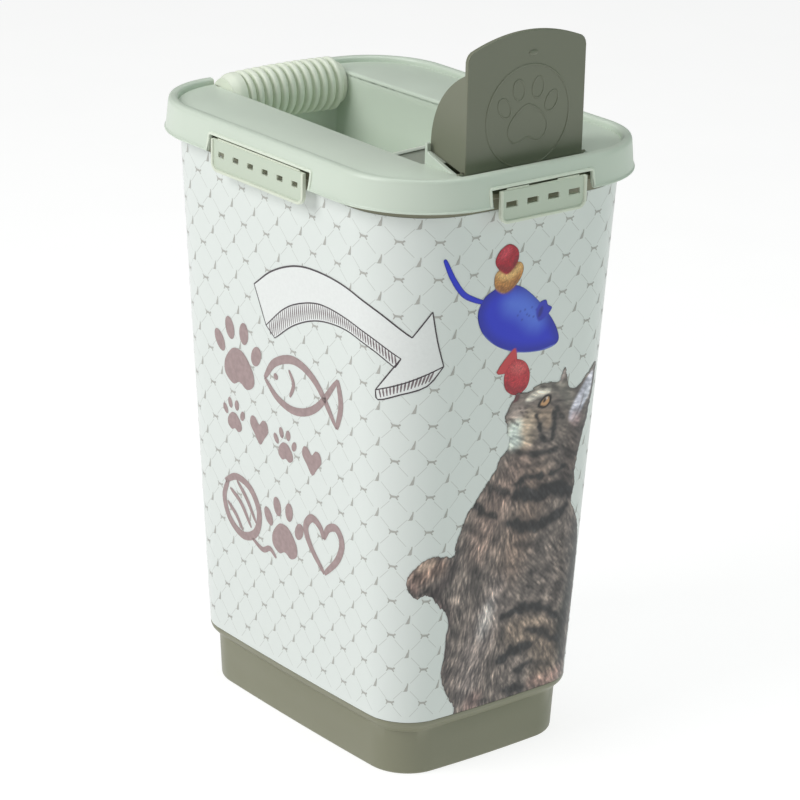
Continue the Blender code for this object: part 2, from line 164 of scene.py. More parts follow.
def moulded_group() -> bpy.types.NodeTree:
    """Shared look of moulded plastic: faint colour drift, fine grain and handling smudges."""
    group, nodes, given, made = new_group(
        "moulded_plastic", [("Colour", "Color"), ("Roughness", "Float")],
        [("Colour", "Color"), ("Roughness", "Float"), ("Grain", "Float")])
    place = nodes.object_place()
    drift = nodes.spread(nodes.noise(place, 7.0, 3.0), 0.3, 0.7, 0.97, 1.03)
    scaled = nodes.add("ShaderNodeVectorMath", operation="SCALE")
    nodes.feed(scaled.inputs[0], given.outputs["Colour"])
    nodes.feed(scaled.inputs["Scale"], drift)
    nodes.feed(made.inputs["Colour"], scaled.outputs[0])
    smudge = nodes.spread(nodes.noise(place, 22.0, 4.0), 0.35, 0.7, -0.05, 0.07)
    nodes.feed(made.inputs["Roughness"], nodes.math("ADD", given.outputs["Roughness"], smudge))
    nodes.feed(made.inputs["Grain"], nodes.noise(place, 1400.0, 2.0))
    return group


def lattice_group(column: float, row: float, node_a: float, node_z: float) -> bpy.types.NodeTree:
    """Mask of the sleeve's lattice: a dash over the middle of every diagonal link.

    Args:
        column: distance between columns in mm.
        row: distance between rows in mm.
        node_a: place round the sleeve of one lattice node, in mm from the front's middle.
        node_z: height of the same node, in mm.

    Returns:
        A group that gives the dashes as a mask between 0 and 1.
    """
    group, nodes, _, made = new_group("lattice_print", [], [("Dash", "Float")])
    split = nodes.add("ShaderNodeSeparateXYZ")
    nodes.feed(split.inputs[0], nodes.add("ShaderNodeUVMap", uv_map="print_place").outputs[0])
    across = nodes.math("DIVIDE", nodes.math("SUBTRACT", nodes.math("MULTIPLY", split.outputs[0], PERIMETER),
                                             node_a + PERIMETER / 2), column)
    up = nodes.math("DIVIDE", nodes.math("SUBTRACT", nodes.math("MULTIPLY", split.outputs[1], PERIMETER),
                                         node_z), row)
    slope = math.hypot(1 / column, 1 / row)
    masks = []
    for along, off in ((("ADD", "SUBTRACT")), (("SUBTRACT", "ADD"))):
        run = nodes.math("ABSOLUTE", nodes.math("WRAP", nodes.math(along, across, up), 1.0, 0.0))
        gap = nodes.math("ABSOLUTE", nodes.math("WRAP", nodes.math(off, across, up), 0.5, -0.5))
        line = nodes.spread(nodes.math("DIVIDE", gap, slope), 0.12, 0.30, 1.0, 0.0)
        middle = nodes.math("ABSOLUTE", nodes.math("SUBTRACT", run, 0.5))
        masks.append(nodes.math("MULTIPLY", line, nodes.spread(middle, 0.262, 0.272, 1.0, 0.0)))
    nodes.feed(made.inputs["Dash"], nodes.math("MAXIMUM", *masks))
    return group


@dataclass(frozen=True)
class Finish:
    """A moulded plastic in one colour."""

    name: str
    colour: tuple[float, float, float]
    roughness: float = 0.4
    coat: float = 0.0
    grain: float = 0.04

    def material(self) -> bpy.types.Material:
        """The finish as a material, made once.

        Returns:
            The material, with the moulded grain mixed into its colour.
        """
        if self.name in bpy.data.materials:
            return bpy.data.materials[self.name]
        mat = bpy.data.materials.new(self.name)
        mat.use_nodes = True
        nodes = Nodes(mat.node_tree)
        shader = mat.node_tree.nodes["Principled BSDF"]
        group = bpy.data.node_groups.get("moulded_plastic") or moulded_group()
        look = nodes.add("ShaderNodeGroup", node_tree=group)
        nodes.feed(look.inputs["Colour"], srgb(*self.colour))
        nodes.feed(look.inputs["Roughness"], self.roughness)
        nodes.feed(shader.inputs["Base Color"], look.outputs["Colour"])
        nodes.feed(shader.inputs["Roughness"], look.outputs["Roughness"])
        bump = nodes.add("ShaderNodeBump")
        bump.inputs["Strength"].default_value = self.grain
        bump.inputs["Distance"].default_value = 0.0002
        nodes.feed(bump.inputs["Height"], look.outputs["Grain"])
        nodes.feed(shader.inputs["Normal"], bump.outputs[0])
        shader.inputs["Coat Weight"].default_value = self.coat
        shader.inputs["IOR"].default_value = 1.49
        shader.inputs["Subsurface Weight"].default_value = 0.0
        return mat


@dataclass(frozen=True)
class PrintInk:
    """Printed ink in one colour, with a light or heavy fleck through it."""

    name: str
    colour: tuple[float, float, float]
    fleck: float = 0.06
    fleck_scale: float = 400.0
    roughness: float = 0.34

    def material(self) -> bpy.types.Material:
        """The ink as a material, made once.

        Returns:
            The material, with its flecks mixed into its colour.
        """
        if self.name in bpy.data.materials:
            return bpy.data.materials[self.name]
        mat = bpy.data.materials.new(self.name)
        mat.use_nodes = True
        nodes = Nodes(mat.node_tree)
        shader = mat.node_tree.nodes["Principled BSDF"]
        value = nodes.spread(nodes.noise(nodes.object_place(), self.fleck_scale, 3.0), 0.3, 0.7,
                             1 - self.fleck, 1 + self.fleck)
        scaled = nodes.add("ShaderNodeVectorMath", operation="SCALE")
        scaled.inputs[0].default_value = srgb(*self.colour)[:3]
        nodes.feed(scaled.inputs["Scale"], value)
        nodes.feed(shader.inputs["Base Color"], scaled.outputs[0])
        shader.inputs["Roughness"].default_value = self.roughness
        return mat


class Palette:
    """The bin's finishes."""

    TUB = Finish("tub_olive", (130, 130, 108), 0.42)
    SAGE = Finish("lid_sage", (206, 217, 203), 0.36)
    GRIP = Finish("grip_sage", (230, 236, 220), 0.45)
    FLAP = Finish("flap_olive", (118, 121, 103), 0.34)
    CLIP = Finish("clip_sage", (214, 221, 203), 0.36)
    # Darker copy of the clip sage for the sunk field: painted shade; its higher roughness is real.
    CLIP_FIELD_SHADE = Finish("clip_sage_field_painted_shade", (195, 206, 188), 0.42)
    # Lighter copy of the lid sage: painted highlight on the raised rims and the recess crest, standing in for
    # the light they catch.
    RIM_HIGHLIGHT = Finish("rim_sage_painted_highlight", (222, 231, 215), 0.34)
    FLOOR = Finish("floor_pale", (150, 150, 149), 0.95, grain=0.0)


# ==================================================================================================
# Mesh building
# ==================================================================================================
def finish_mesh(name: str, bm: bmesh.types.BMesh, mat: bpy.types.Material, sharp: float = 40.0,
                recalc: bool = True) -> bpy.types.Object:
    """Turn a bmesh in millimetres into a linked object in metres.

    Args:
        name: the object's name.
        bm: the mesh, which is freed.
        mat: its material.
        sharp: edges bent more than this many degrees stay sharp.
        recalc: turn the faces outward first.

    Returns:
        The object, at the origin, unturned and unscaled.
    """
    bmesh.ops.remove_doubles(bm, verts=bm.verts, dist=1e-4)
    bmesh.ops.dissolve_degenerate(bm, dist=1e-4, edges=bm.edges)
    if recalc:
        bmesh.ops.recalc_face_normals(bm, faces=bm.faces)
    bmesh.ops.scale(bm, vec=(MM, MM, MM), verts=bm.verts)
    mesh = bpy.data.meshes.new(name)
    bm.to_mesh(mesh)
    bm.free()
    obj = bpy.data.objects.new(name, mesh)
    bpy.context.scene.collection.objects.link(obj)
    mesh.materials.append(mat)
    mesh.shade_smooth()
    mesh.set_sharp_from_angle(angle=math.radians(sharp))
    return obj


def mount(obj: bpy.types.Object, body: str, slot: str, *nodes: str) -> bpy.types.Object:
    """Hang a piece on its body and hide the CAD nodes it stands for."""
    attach(obj, body)
    if nodes:
        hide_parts(*nodes)
    log.info("%s: %d faces on %s", obj.name, len(obj.data.polygons), body)
    return obj


def soften(obj: bpy.types.Object, width: float, segments: int = 3, angle: float = 40.0) -> bpy.types.Object:
    """Round an object's sharp edges by a width in mm."""
    mod = obj.modifiers.new("soft_edges", "BEVEL")
    mod.width = width * MM
    mod.segments = segments
    mod.limit_method = "ANGLE"
    mod.angle_limit = math.radians(angle)
    mod.harden_normals = False
    mod.use_clamp_overlap = True
    return obj


def spline(points: Sequence[Point2], steps: int) -> list[Point2]:
    """A smooth curve through points, with a number of steps between each pair."""
    line = np.array(points, float)
    padded = np.vstack([2 * line[0] - line[1], line, 2 * line[-1] - line[-2]])
    made = []
    for p0, p1, p2, p3 in zip(padded, padded[1:], padded[2:], padded[3:]):
        for i in range(steps):
            t = i / steps
            made.append(tuple(0.5 * (2 * p1 + (p2 - p0) * t + (2 * p0 - 5 * p1 + 4 * p2 - p3) * t * t
                                     + (3 * p1 - p0 - 3 * p2 + p3) * t ** 3)))
    made.append(tuple(line[-1]))
    return made


def closed_spline(points: Sequence[Point2], steps: int) -> list[Point2]:
    """A smooth closed curve through points."""
    line = np.array(points, float)
    count = len(line)
    made = []
    for i in range(count):
        p0, p1, p2, p3 = (line[(i + k - 1) % count] for k in range(4))
        for t in np.arange(steps) / steps:
            made.append(tuple(0.5 * (2 * p1 + (p2 - p0) * t + (2 * p0 - 5 * p1 + 4 * p2 - p3) * t * t
                                     + (3 * p1 - p0 - 3 * p2 + p3) * t ** 3)))
    return made


def closed_loft(rings: Sequence[np.ndarray], torus: bool = False) -> bmesh.types.BMesh:
    """Skin rings of equal point counts.

    Args:
        rings: arrays of points, one row each, all running the same way.
        torus: join the last ring back to the first; otherwise both ends are filled.

    Returns:
        The mesh.
    """
    count = len(rings[0])
    bm = bmesh.new()
    tag = bm.verts.layers.int.new("station")
    made = bmesh.ops.create_circle(bm, segments=count, radius=1.0)
    verts = made["verts"]
    for i, vert in enumerate(verts):
        vert[tag] = i
        vert.co = rings[0][i]
    edges = list(bm.edges)
    first = edges
    for ring in rings[1:]:
        made = bmesh.ops.extrude_edge_only(bm, edges=edges)["geom"]
        edges = [e for e in made if isinstance(e, bmesh.types.BMEdge)]
        for vert in (v for v in made if isinstance(v, bmesh.types.BMVert)):
            vert.co = ring[vert[tag]]
    if torus:
        bmesh.ops.bridge_loops(bm, edges=first + edges)
    else:
        bmesh.ops.holes_fill(bm, edges=first + edges, sides=0)
    return bm


def sheet(across: int, along: int,
          place: Callable[[np.ndarray, np.ndarray], np.ndarray]) -> bmesh.types.BMesh:
    """A grid bent into a surface.

    Args:
        across: number of faces one way.
        along: number of faces the other way.
        place: gives points for arrays of the two shares between 0 and 1.

    Returns:
        The mesh.
    """
    bm = bmesh.new()
    bmesh.ops.create_grid(bm, x_segments=across, y_segments=along, size=0.5)
    flat = np.array([v.co for v in bm.verts])
    for vert, point in zip(bm.verts, place(flat[:, 0] + 0.5, flat[:, 1] + 0.5)):
        vert.co = point
    return bm


def prism(outline: Sequence[Sequence[float]], push: Sequence[float]) -> bmesh.types.BMesh:
    """A flat outline of points, filled and extruded along a direction."""
    bm = bmesh.new()
    made = bmesh.ops.create_circle(bm, cap_ends=True, segments=len(outline), radius=1.0)
    for vert, point in zip(made["verts"], outline):
        vert.co = point
    raised = bmesh.ops.extrude_face_region(bm, geom=list(bm.faces), use_keep_orig=True)["geom"]
    bmesh.ops.translate(bm, vec=push, verts=[v for v in raised if isinstance(v, bmesh.types.BMVert)])
    bmesh.ops.recalc_face_normals(bm, faces=bm.faces)
    return bm


def block(low: Sequence[float], high: Sequence[float]) -> bmesh.types.BMesh:
    """A box between two corners."""
    bm = bmesh.new()
    low_v, high_v = Vector(low), Vector(high)
    place = Matrix.Translation((low_v + high_v) / 2) @ Matrix.Diagonal((*(high_v - low_v), 1.0))
    bmesh.ops.create_cube(bm, size=1.0, matrix=place)
    return bm


def rod(low_x: float, high_x: float, y: float, z: float, radius: float,
        segments: int = 40) -> bmesh.types.BMesh:
    """A round bar along X."""
    bm = bmesh.new()
    place = Matrix.Translation(((low_x + high_x) / 2, y, z)) @ Matrix.Rotation(math.pi / 2, 4, "Y")
    bmesh.ops.create_cone(bm, cap_ends=True, segments=segments, radius1=radius, radius2=radius,
                          depth=high_x - low_x, matrix=place)
    return bm


def turned(bm: bmesh.types.BMesh, side: Side) -> bmesh.types.BMesh:
    """Turn a mesh built on the front round to another side."""
    bmesh.ops.rotate(bm, cent=(0, 0, 0), matrix=Matrix.Rotation(math.radians(side.value), 3, "Z"),
                     verts=bm.verts)
    return bm


def carve(obj: bpy.types.Object, steps: Sequence[tuple[str, bmesh.types.BMesh]]) -> bpy.types.Object:
    """Apply a row of exact Booleans with meshes in millimetres.

    Args:
        obj: the object to change.
        steps: each step's operation and the mesh it uses.

    Returns:
        The object, with its mesh replaced.
    """
    cutters = []
    for operation, bm in steps:
        cutter = finish_mesh("cutter", bm, obj.data.materials[0])
        mod = obj.modifiers.new("carve", "BOOLEAN")
        mod.solver, mod.operation, mod.object = "EXACT", operation, cutter
        cutters.append(cutter)
    bpy.context.view_layer.update()
    made = bpy.data.meshes.new_from_object(obj.evaluated_get(bpy.context.evaluated_depsgraph_get()))
    made.name = obj.name
    obj.modifiers.clear()
    obj.data = made
    for cutter in cutters:
        bpy.data.objects.remove(cutter, do_unlink=True)
    bm = bmesh.new()
    bm.from_mesh(made)
    bmesh.ops.remove_doubles(bm, verts=bm.verts, dist=1e-6)
    bmesh.ops.dissolve_limit(bm, angle_limit=math.radians(0.5), verts=bm.verts, edges=bm.edges)
    bm.to_mesh(made)
    bm.free()
    made.shade_smooth()
    made.set_sharp_from_angle(angle=math.radians(40))
    return obj


class Outline:
    """A rounded rectangle in plan with slightly bowed sides, walked by length from its front's middle."""

    def __init__(self, half_x: float, half_y: float, radius: float, bow: float = 0.0) -> None:
        """Measure one quarter of the outline.

        Args:
            half_x: half the width in mm.
            half_y: half the length in mm.
            radius: the corners' radius in mm.
            bow: how far the sides' middles stand out in mm.
        """
        run_x, run_y = half_x - bow - radius, half_y - bow - radius
        share = np.linspace(0, 1, 30)
        turn = np.linspace(-math.pi / 2, 0, 60)[1:-1]
        self.x = np.concatenate([run_x * share, run_x + radius * np.cos(turn),
                                 half_x - bow * share[::-1] ** 2])
        self.y = np.concatenate([-(half_y - bow * share ** 2), -run_y + radius * np.sin(turn),
                                 -run_y * share[::-1]])
        self.length = np.concatenate([[0.0], np.cumsum(np.hypot(np.diff(self.x), np.diff(self.y)))])
        self.quarter = self.length[-1]

    def at(self, distance: np.ndarray) -> np.ndarray:
        """Plan points at distances round the outline."""
        around = np.mod(distance, 4 * self.quarter)
        index = np.minimum((around / self.quarter).astype(int), 3)
        rest = around - index * self.quarter
        rest = np.where(index % 2 == 1, self.quarter - rest, rest)
        x, y = np.interp(rest, self.length, self.x), np.interp(rest, self.length, self.y)
        return np.stack([np.where(index >= 2, -x, x), np.where((index == 1) | (index == 2), -y, y)], axis=1)

    def mark(self, side: Side, place: float) -> float:
        """Distance round to the point at an x or y on one side."""
        if side in (Side.FRONT, Side.BACK):
            step = float(np.interp(abs(place), self.x, self.length))
            signed = math.copysign(step, place)
            return signed if side is Side.FRONT else 2 * self.quarter - signed
        step = self.quarter - float(np.interp(-abs(place), self.y, self.length))
        return self.quarter + math.copysign(step, place) if side is Side.RIGHT \
            else 3 * self.quarter - math.copysign(step, place)

    def ring(self, z: float, count: int) -> np.ndarray:
        """A ring of evenly spread points at a height."""
        plan = self.at(np.arange(count) * 4 * self.quarter / count)
        return np.column_stack([plan, np.full(count, z)])


def wall_outline(z: float, inset: float = 0.0) -> Outline:
    """The tub wall's outline at a height, moved in by an inset."""
    share = (z - WALL_LOW_Z) / (WALL_TOP_Z - WALL_LOW_Z)
    half_x, half_y, radius = 89.2 + 23.8 * share, 130.4 + 23.8 * share, 35.0 + 25.0 * share
    return Outline(half_x - inset, half_y - inset, radius - inset, 1.2)


def plinth_outline(z: float, inset: float = 0.0) -> Outline:
    """The plinth's outline at a height, moved in by an inset."""
    back = 4.9 + 2.0 * (1 - z / 36.0) + inset
    return Outline(89.2 - back, 130.4 - back, 40.0 - back, 1.2)


def wall_points(across: np.ndarray, height: np.ndarray, lift: float = 0.0) -> np.ndarray:
    """Points on the sleeve for places across and heights in mm, lifted off it by a distance.

    Args:
        across: distance round the print from the front's middle, positive towards +X.
        height: height above the floor.
        lift: distance out from the sleeve's face.

    Returns:
        One row of x, y and z per point.
    """
    levels = np.arange(math.floor(height.min()), math.ceil(height.max()) + 1.5, 1.0)
    low = np.clip((height - levels[0]).astype(int), 0, len(levels) - 2)
    made = np.zeros((len(across), 3))
    for level in np.unique(low):
        pick = low == level
        share = (height[pick] - levels[level])[:, None]
        ends = []
        for z in (levels[level], levels[level + 1]):
            outline = wall_outline(z, -lift)
            ends.append(outline.at(across[pick] / PERIMETER * 4 * outline.quarter))
        made[pick, :2] = ends[0] * (1 - share) + ends[1] * share
    made[:, 2] = height
    return made


# ==================================================================================================
# Tub and sleeve
# ==================================================================================================
@dataclass
class Tub:
    """The tapered tub with its recessed plinth and flanged rim."""

    stations: int = 320
    body: str = "tub"

    def build(self) -> bpy.types.Object:
        """Loft the outside up to the rim and the inside back down to the floor."""
        shoulder = spline([(36.0, 5.2), (38.6, 3.4), (41.4, 0.9), (44.0, 0.0)], 4)
        foot = [(2.2 - 2.2 * math.sin(t), 2.2 - 2.2 * math.cos(t)) for t in np.linspace(math.pi / 2, 0, 5)]
        rings = [plinth_outline(z, inset).ring(z, self.stations) for z, inset in foot]
        rings += [plinth_outline(z).ring(z, self.stations) for z in (12.0, 24.0, 35.4)]
        rings += [wall_outline(z, inset).ring(z, self.stations) for z, inset in shoulder[1:]]
        outer = [(45.7, 0.0), (45.7, 0.9), (433.3, 0.9), (433.3, 0.0), (441.0, 0.0), (442.4, -1.4),
                 (443.0, -4.6), (443.6, -5.2), (446.6, -5.2), (447.4, -4.0), (448.0, -1.6), (449.0, -1.2),
                 (449.4, -0.6), (449.4, 1.2), (449.0, 1.8), (441.4, 2.9), (46.0, 2.9)]
        rings += [wall_outline(z, inset).ring(z, self.stations) for z, inset in outer]
        rings += [plinth_outline(z, inset).ring(z, self.stations)
                  for z, inset in ((35.0, 2.0), (6.0, 2.0), (4.2, 2.6), (3.2, 3.8), (3.0, 5.0))]
        obj = finish_mesh("tub_shell", closed_loft(rings), Palette.TUB.material())
        return mount(obj, self.body, "tub_plastic", "bin_body")


@dataclass
class Sleeve:
    """The white printed band with its lattice of dashes."""

    stations: int = 352
    column: float = PERIMETER / 34
    row: float = 27.2
    node: Point2 = (-71.0, 415.0)
    body: str = "tub"

    def material(self) -> bpy.types.Material:
        """White satin film with the dash lattice printed on it."""
        mat = bpy.data.materials.new("sleeve_film")
        mat.use_nodes = True
        nodes = Nodes(mat.node_tree)
        shader = mat.node_tree.nodes["Principled BSDF"]
        print_group = lattice_group(self.column, self.row, *self.node)
        dash = nodes.add("ShaderNodeGroup", node_tree=print_group).outputs["Dash"]
        nodes.feed(shader.inputs["Base Color"], nodes.mix(dash, srgb(221, 227, 223), srgb(194, 198, 193)))
        shader.inputs["Roughness"].default_value = 0.34
        shader.inputs["Coat Weight"].default_value = 0.15
        shader.inputs["Coat Roughness"].default_value = 0.2
        return mat

    def build(self) -> bpy.types.Object:
        """Loft a thin band, and map its outside with places round and heights.

        Returns:
            The sleeve, with the map that its print reads.
        """
        levels = np.linspace(SLEEVE_Z[0], SLEEVE_Z[1], 40)
        profile = [(z, 0.0) for z in levels] + [(z, 0.6) for z in levels[::-8]]
        bm = closed_loft([wall_outline(z, inset).ring(z, self.stations) for z, inset in profile], torus=True)
        tag = bm.verts.layers.int["station"]
        uv = bm.loops.layers.uv.new("print_place")
        for face in bm.faces:
            shares = [loop.vert[tag] / self.stations for loop in face.loops]
            if max(shares) - min(shares) > 0.5:
                shares = [share or 1.0 for share in shares]
            shift = 0.5 if sum(shares) / len(shares) < 0.5 else -0.5
            for loop, share in zip(face.loops, shares):
                loop[uv].uv = (share + shift, loop.vert.co.z / PERIMETER)
        obj = finish_mesh("sleeve_band", bm, self.material())
        return mount(obj, self.body, "sleeve_film", "printed_sleeve")


# ==================================================================================================
# Prints on the sleeve
# ==================================================================================================
class FlatPrint:
    """Flat shapes in one ink, drawn in sleeve places and heights and then wrapped on to the sleeve."""

    def __init__(self, name: str, ink: PrintInk, lift: float) -> None:
        """Start an empty print.

        Args:
            name: the object's name.
            ink: its ink.
            lift: how far it stands off the sleeve in mm.
        """
        self.name, self.ink, self.lift = name, ink, lift
        self.bm = bmesh.new()

    def fill(self, points: Sequence[Point2]) -> None:
        """A filled outline."""
        line = np.array(points, float)
        area = np.sum(line[:, 0] * np.roll(line[:, 1], -1) - np.roll(line[:, 0], -1) * line[:, 1])
        line = line if area > 0 else line[::-1]
        made = bmesh.ops.create_circle(self.bm, cap_ends=True, segments=len(line), radius=1.0)
        for vert, (x, y) in zip(made["verts"], line):
            vert.co = (x, y, 0.0)

    def line(self, points: Sequence[Point2], width: float, ends: float = 1.0, steps: int = 6) -> None:
        """A smooth line, narrowed at both ends to a share of its width."""
        run = np.array(spline(points, steps))
        step = np.gradient(run, axis=0)
        out = np.column_stack([-step[:, 1], step[:, 0]]) / np.maximum(np.hypot(*step.T), 1e-6)[:, None]
        share = np.linspace(0, 1, len(run))
        half = width / 2 * (ends + (1 - ends) * np.clip(4 * share * (1 - share), 0, 1) ** 0.5)[:, None]
        self.fill([tuple(p) for p in np.vstack([run + out * half, (run - out * half)[::-1]])])

    def ellipse(self, centre: Point2, wide: float, tall: float, lean: float = 0.0) -> None:
        """A filled ellipse, leaning by an angle in radians."""
        turn = np.linspace(0, 2 * math.pi, 24, endpoint=False)
        x, y = wide * np.cos(turn), tall * np.sin(turn)
        self.fill([(centre[0] + a * math.cos(lean) - b * math.sin(lean),
                    centre[1] + a * math.sin(lean) + b * math.cos(lean)) for a, b in zip(x, y)])

    def build(self, strip: float = 4.0) -> bpy.types.Object:
        """Cut the shapes into upright strips and wrap them round the sleeve."""
        bm = self.bm
        bmesh.ops.triangulate(bm, faces=bm.faces)
        if strip:
            low, high = min(v.co.x for v in bm.verts), max(v.co.x for v in bm.verts)
            for at in np.arange(math.ceil(low / strip) * strip, high, strip):
                bmesh.ops.bisect_plane(bm, geom=list(bm.verts) + list(bm.edges) + list(bm.faces), dist=1e-5,
                                       plane_co=(at, 0, 0), plane_no=(1, 0, 0))
        flat = np.array([v.co for v in bm.verts])
        for vert, point in zip(bm.verts, wall_points(flat[:, 0], flat[:, 1], self.lift)):
            vert.co = point
        obj = finish_mesh(self.name, bm, self.ink.material(), recalc=False)
        return mount(obj, "tub", "sleeve_film")


class Painting:
    """A picture in many colours: a fine grid wrapped on the sleeve, with a colour per point."""

    def __init__(self, name: str, low: Point2, high: Point2, step: float, lift: float) -> None:
        """Start an empty picture.

        Args:
            name: the object's name.
            low: the grid's low corner as a place round the sleeve and a height, in mm.
            high: its high corner.
            step: distance between points in mm.
            lift: how far it stands off the sleeve in mm.
        """
        self.name, self.lift = name, lift
        self.across = int((high[0] - low[0]) / step)
        self.along = int((high[1] - low[1]) / step)
        self.low, self.high = low, high
        self.x, self.y = (grid.ravel() for grid in np.meshgrid(np.linspace(low[0], high[0], self.across + 1),
                                                               np.linspace(low[1], high[1], self.along + 1)))
        self.colour = np.zeros((len(self.x), 3))
        self.cover = np.full(len(self.x), -9.0)

    def depth_in(self, points: Sequence[Point2]) -> np.ndarray:
        """Distance inside an outline, negative outside."""
        best = np.full(len(self.x), 1e9)
        inside = np.zeros(len(self.x), bool)
        line = np.array(points, float)
        for (x0, y0), (x1, y1) in zip(line, np.roll(line, -1, axis=0)):
            dx, dy = x1 - x0, y1 - y0
            t = np.clip(((self.x - x0) * dx + (self.y - y0) * dy) / max(dx * dx + dy * dy, 1e-9), 0, 1)
            best = np.minimum(best, np.hypot(self.x - x0 - dx * t, self.y - y0 - dy * t))
            if y0 != y1:
                inside ^= ((y0 > self.y) != (y1 > self.y)) & (self.x < dx * (self.y - y0) / dy + x0)
        return np.where(inside, best, -best)

    def lay(self, depth: np.ndarray, ink: tuple, soft: float, strength: float, cover: bool) -> None:
        """Blend a colour in where a depth is positive, with a soft edge."""
        share = (smoothstep(-soft, soft, depth) * strength)[:, None]
        self.colour = self.colour * (1 - share) + np.array(srgb(*ink)[:3]) * share
        if cover:
            self.cover = np.maximum(self.cover, depth)

    def shape(self, points: Sequence[Point2], ink: tuple, soft: float = 0.7, strength: float = 1.0,
              cover: bool = False, steps: int = 5) -> None:
        """A filled smooth outline."""
        self.lay(self.depth_in(closed_spline(points, steps)), ink, soft, strength, cover)

    def stroke(self, points: Sequence[Point2], radius: float, ink: tuple, soft: float = 0.7,
               strength: float = 1.0, cover: bool = False, ragged: np.ndarray | float = 0.0) -> None:
        """A smooth brush stroke that thins out towards both ends.

        Args:
            points: the stroke's path in mm.
            radius: half its width in mm.
            ink: its colour in display values.
            soft: how far its edge fades in mm.
            strength: how much it covers, between 0 and 1.
            cover: whether it also adds to the picture's outline.
            ragged: distance that moves the edge, for each point.
        """
        run = np.array(spline(points, 4)) if len(points) > 1 else np.array([points[0], points[0]])
        depth = np.full(len(self.x), -1e9)
        count = len(run) - 1
        for i, ((x0, y0), (x1, y1)) in enumerate(zip(run, run[1:])):
            dx, dy = x1 - x0, y1 - y0
            t = np.clip(((self.x - x0) * dx + (self.y - y0) * dy) / max(dx * dx + dy * dy, 1e-9), 0, 1)
            share = (i + t) / count
            swell = 0.55 + 0.45 * np.clip(4 * share * (1 - share), 0, 1) ** 0.5
            size = radius * swell if count > 1 else radius
            depth = np.maximum(depth, size - np.hypot(self.x - x0 - dx * t, self.y - y0 - dy * t))
        self.lay(depth + ragged, ink, soft, strength, cover)

    def blotch(self, size: float, seed: int) -> np.ndarray:
        """Soft patches of a size in mm, with a spread near 1."""
        rng = np.random.default_rng(seed)
        waves = rng.uniform(-1, 1, (14, 2)) * 2 * math.pi / size
        return sum(np.sin(self.x * u + self.y * v + phase) for (u, v), phase
                   in zip(waves, rng.uniform(0, 6.28, 14))) / math.sqrt(7)

    def hair(self, way_x: np.ndarray, way_y: np.ndarray, length: float, seed: int) -> np.ndarray:
        """Noise drawn out along a direction at every point, with a mean of 0 and a spread of 1.

        Args:
            way_x: the direction's part across, per point.
            way_y: the direction's part up, per point.
            length: how far each hair runs, in mm.
            seed: picks the noise.

        Returns:
            One value per point.
        """
        rows, columns = self.along + 1, self.across + 1
        noise = np.random.default_rng(seed).standard_normal((rows, columns))
        pitch = (self.high[0] - self.low[0]) / self.across
        size = np.maximum(np.hypot(way_x, way_y), 1e-6)
        total = np.zeros(len(self.x))
        for reach in np.arange(-length / 2, length / 2 + 1e-6, pitch * 0.7):
            column = np.clip((self.x + way_x / size * reach - self.low[0]) / pitch, 0, columns - 1.001)
            row = np.clip((self.y + way_y / size * reach - self.low[1]) / pitch, 0, rows - 1.001)
            i, j = row.astype(int), column.astype(int)
            u, v = row - i, column - j
            total += (noise[i, j] * (1 - u) * (1 - v) + noise[i + 1, j] * u * (1 - v)
                      + noise[i, j + 1] * (1 - u) * v + noise[i + 1, j + 1] * u * v)
        return (total - total.mean()) / total.std()

    def material(self) -> bpy.types.Material:
        """Ink that takes its colour from the grid and is clear where the grid has no cover."""
        mat = bpy.data.materials.new(f"{self.name}_ink")
        mat.use_nodes = True
        nodes = Nodes(mat.node_tree)
        shader = mat.node_tree.nodes["Principled BSDF"]
        painted = nodes.add("ShaderNodeVertexColor", layer_name="ink")
        nodes.feed(shader.inputs["Base Color"], painted.outputs[0])
        cover = nodes.add("ShaderNodeAttribute", attribute_name="cover").outputs["Fac"]
        nodes.feed(shader.inputs["Alpha"], nodes.spread(cover, -0.18, 0.18, 0.0, 1.0))
        shader.inputs["Roughness"].default_value = 0.36
        return mat

    def build(self) -> bpy.types.Object:
        """Wrap the covered part of the grid on to the sleeve and keep its colours.

        Returns:
            The picture, with a colour on each point.
        """
        bm = bmesh.new()
        ink = bm.verts.layers.float_color.new("ink")
        cover = bm.verts.layers.float.new("cover")
        bmesh.ops.create_grid(bm, x_segments=self.across, y_segments=self.along, size=0.5)
        flat = np.array([v.co for v in bm.verts]) + 0.5
        column = np.round(flat[:, 0] * self.across).astype(int)
        index = np.round(flat[:, 1] * self.along).astype(int) * (self.across + 1) + column
        points = wall_points(self.x, self.y, self.lift)
        for vert, i in zip(bm.verts, index):
            vert.co = points[i]
            vert[ink] = (*self.colour[i], 1.0)
            vert[cover] = self.cover[i]
        bare = [f for f in bm.faces if max(v[cover] for v in f.verts) < -0.3]
        bmesh.ops.delete(bm, geom=bare, context="FACES")
        obj = finish_mesh(self.name, bm, self.material(), recalc=False)
        return mount(obj, "tub", "sleeve_film")


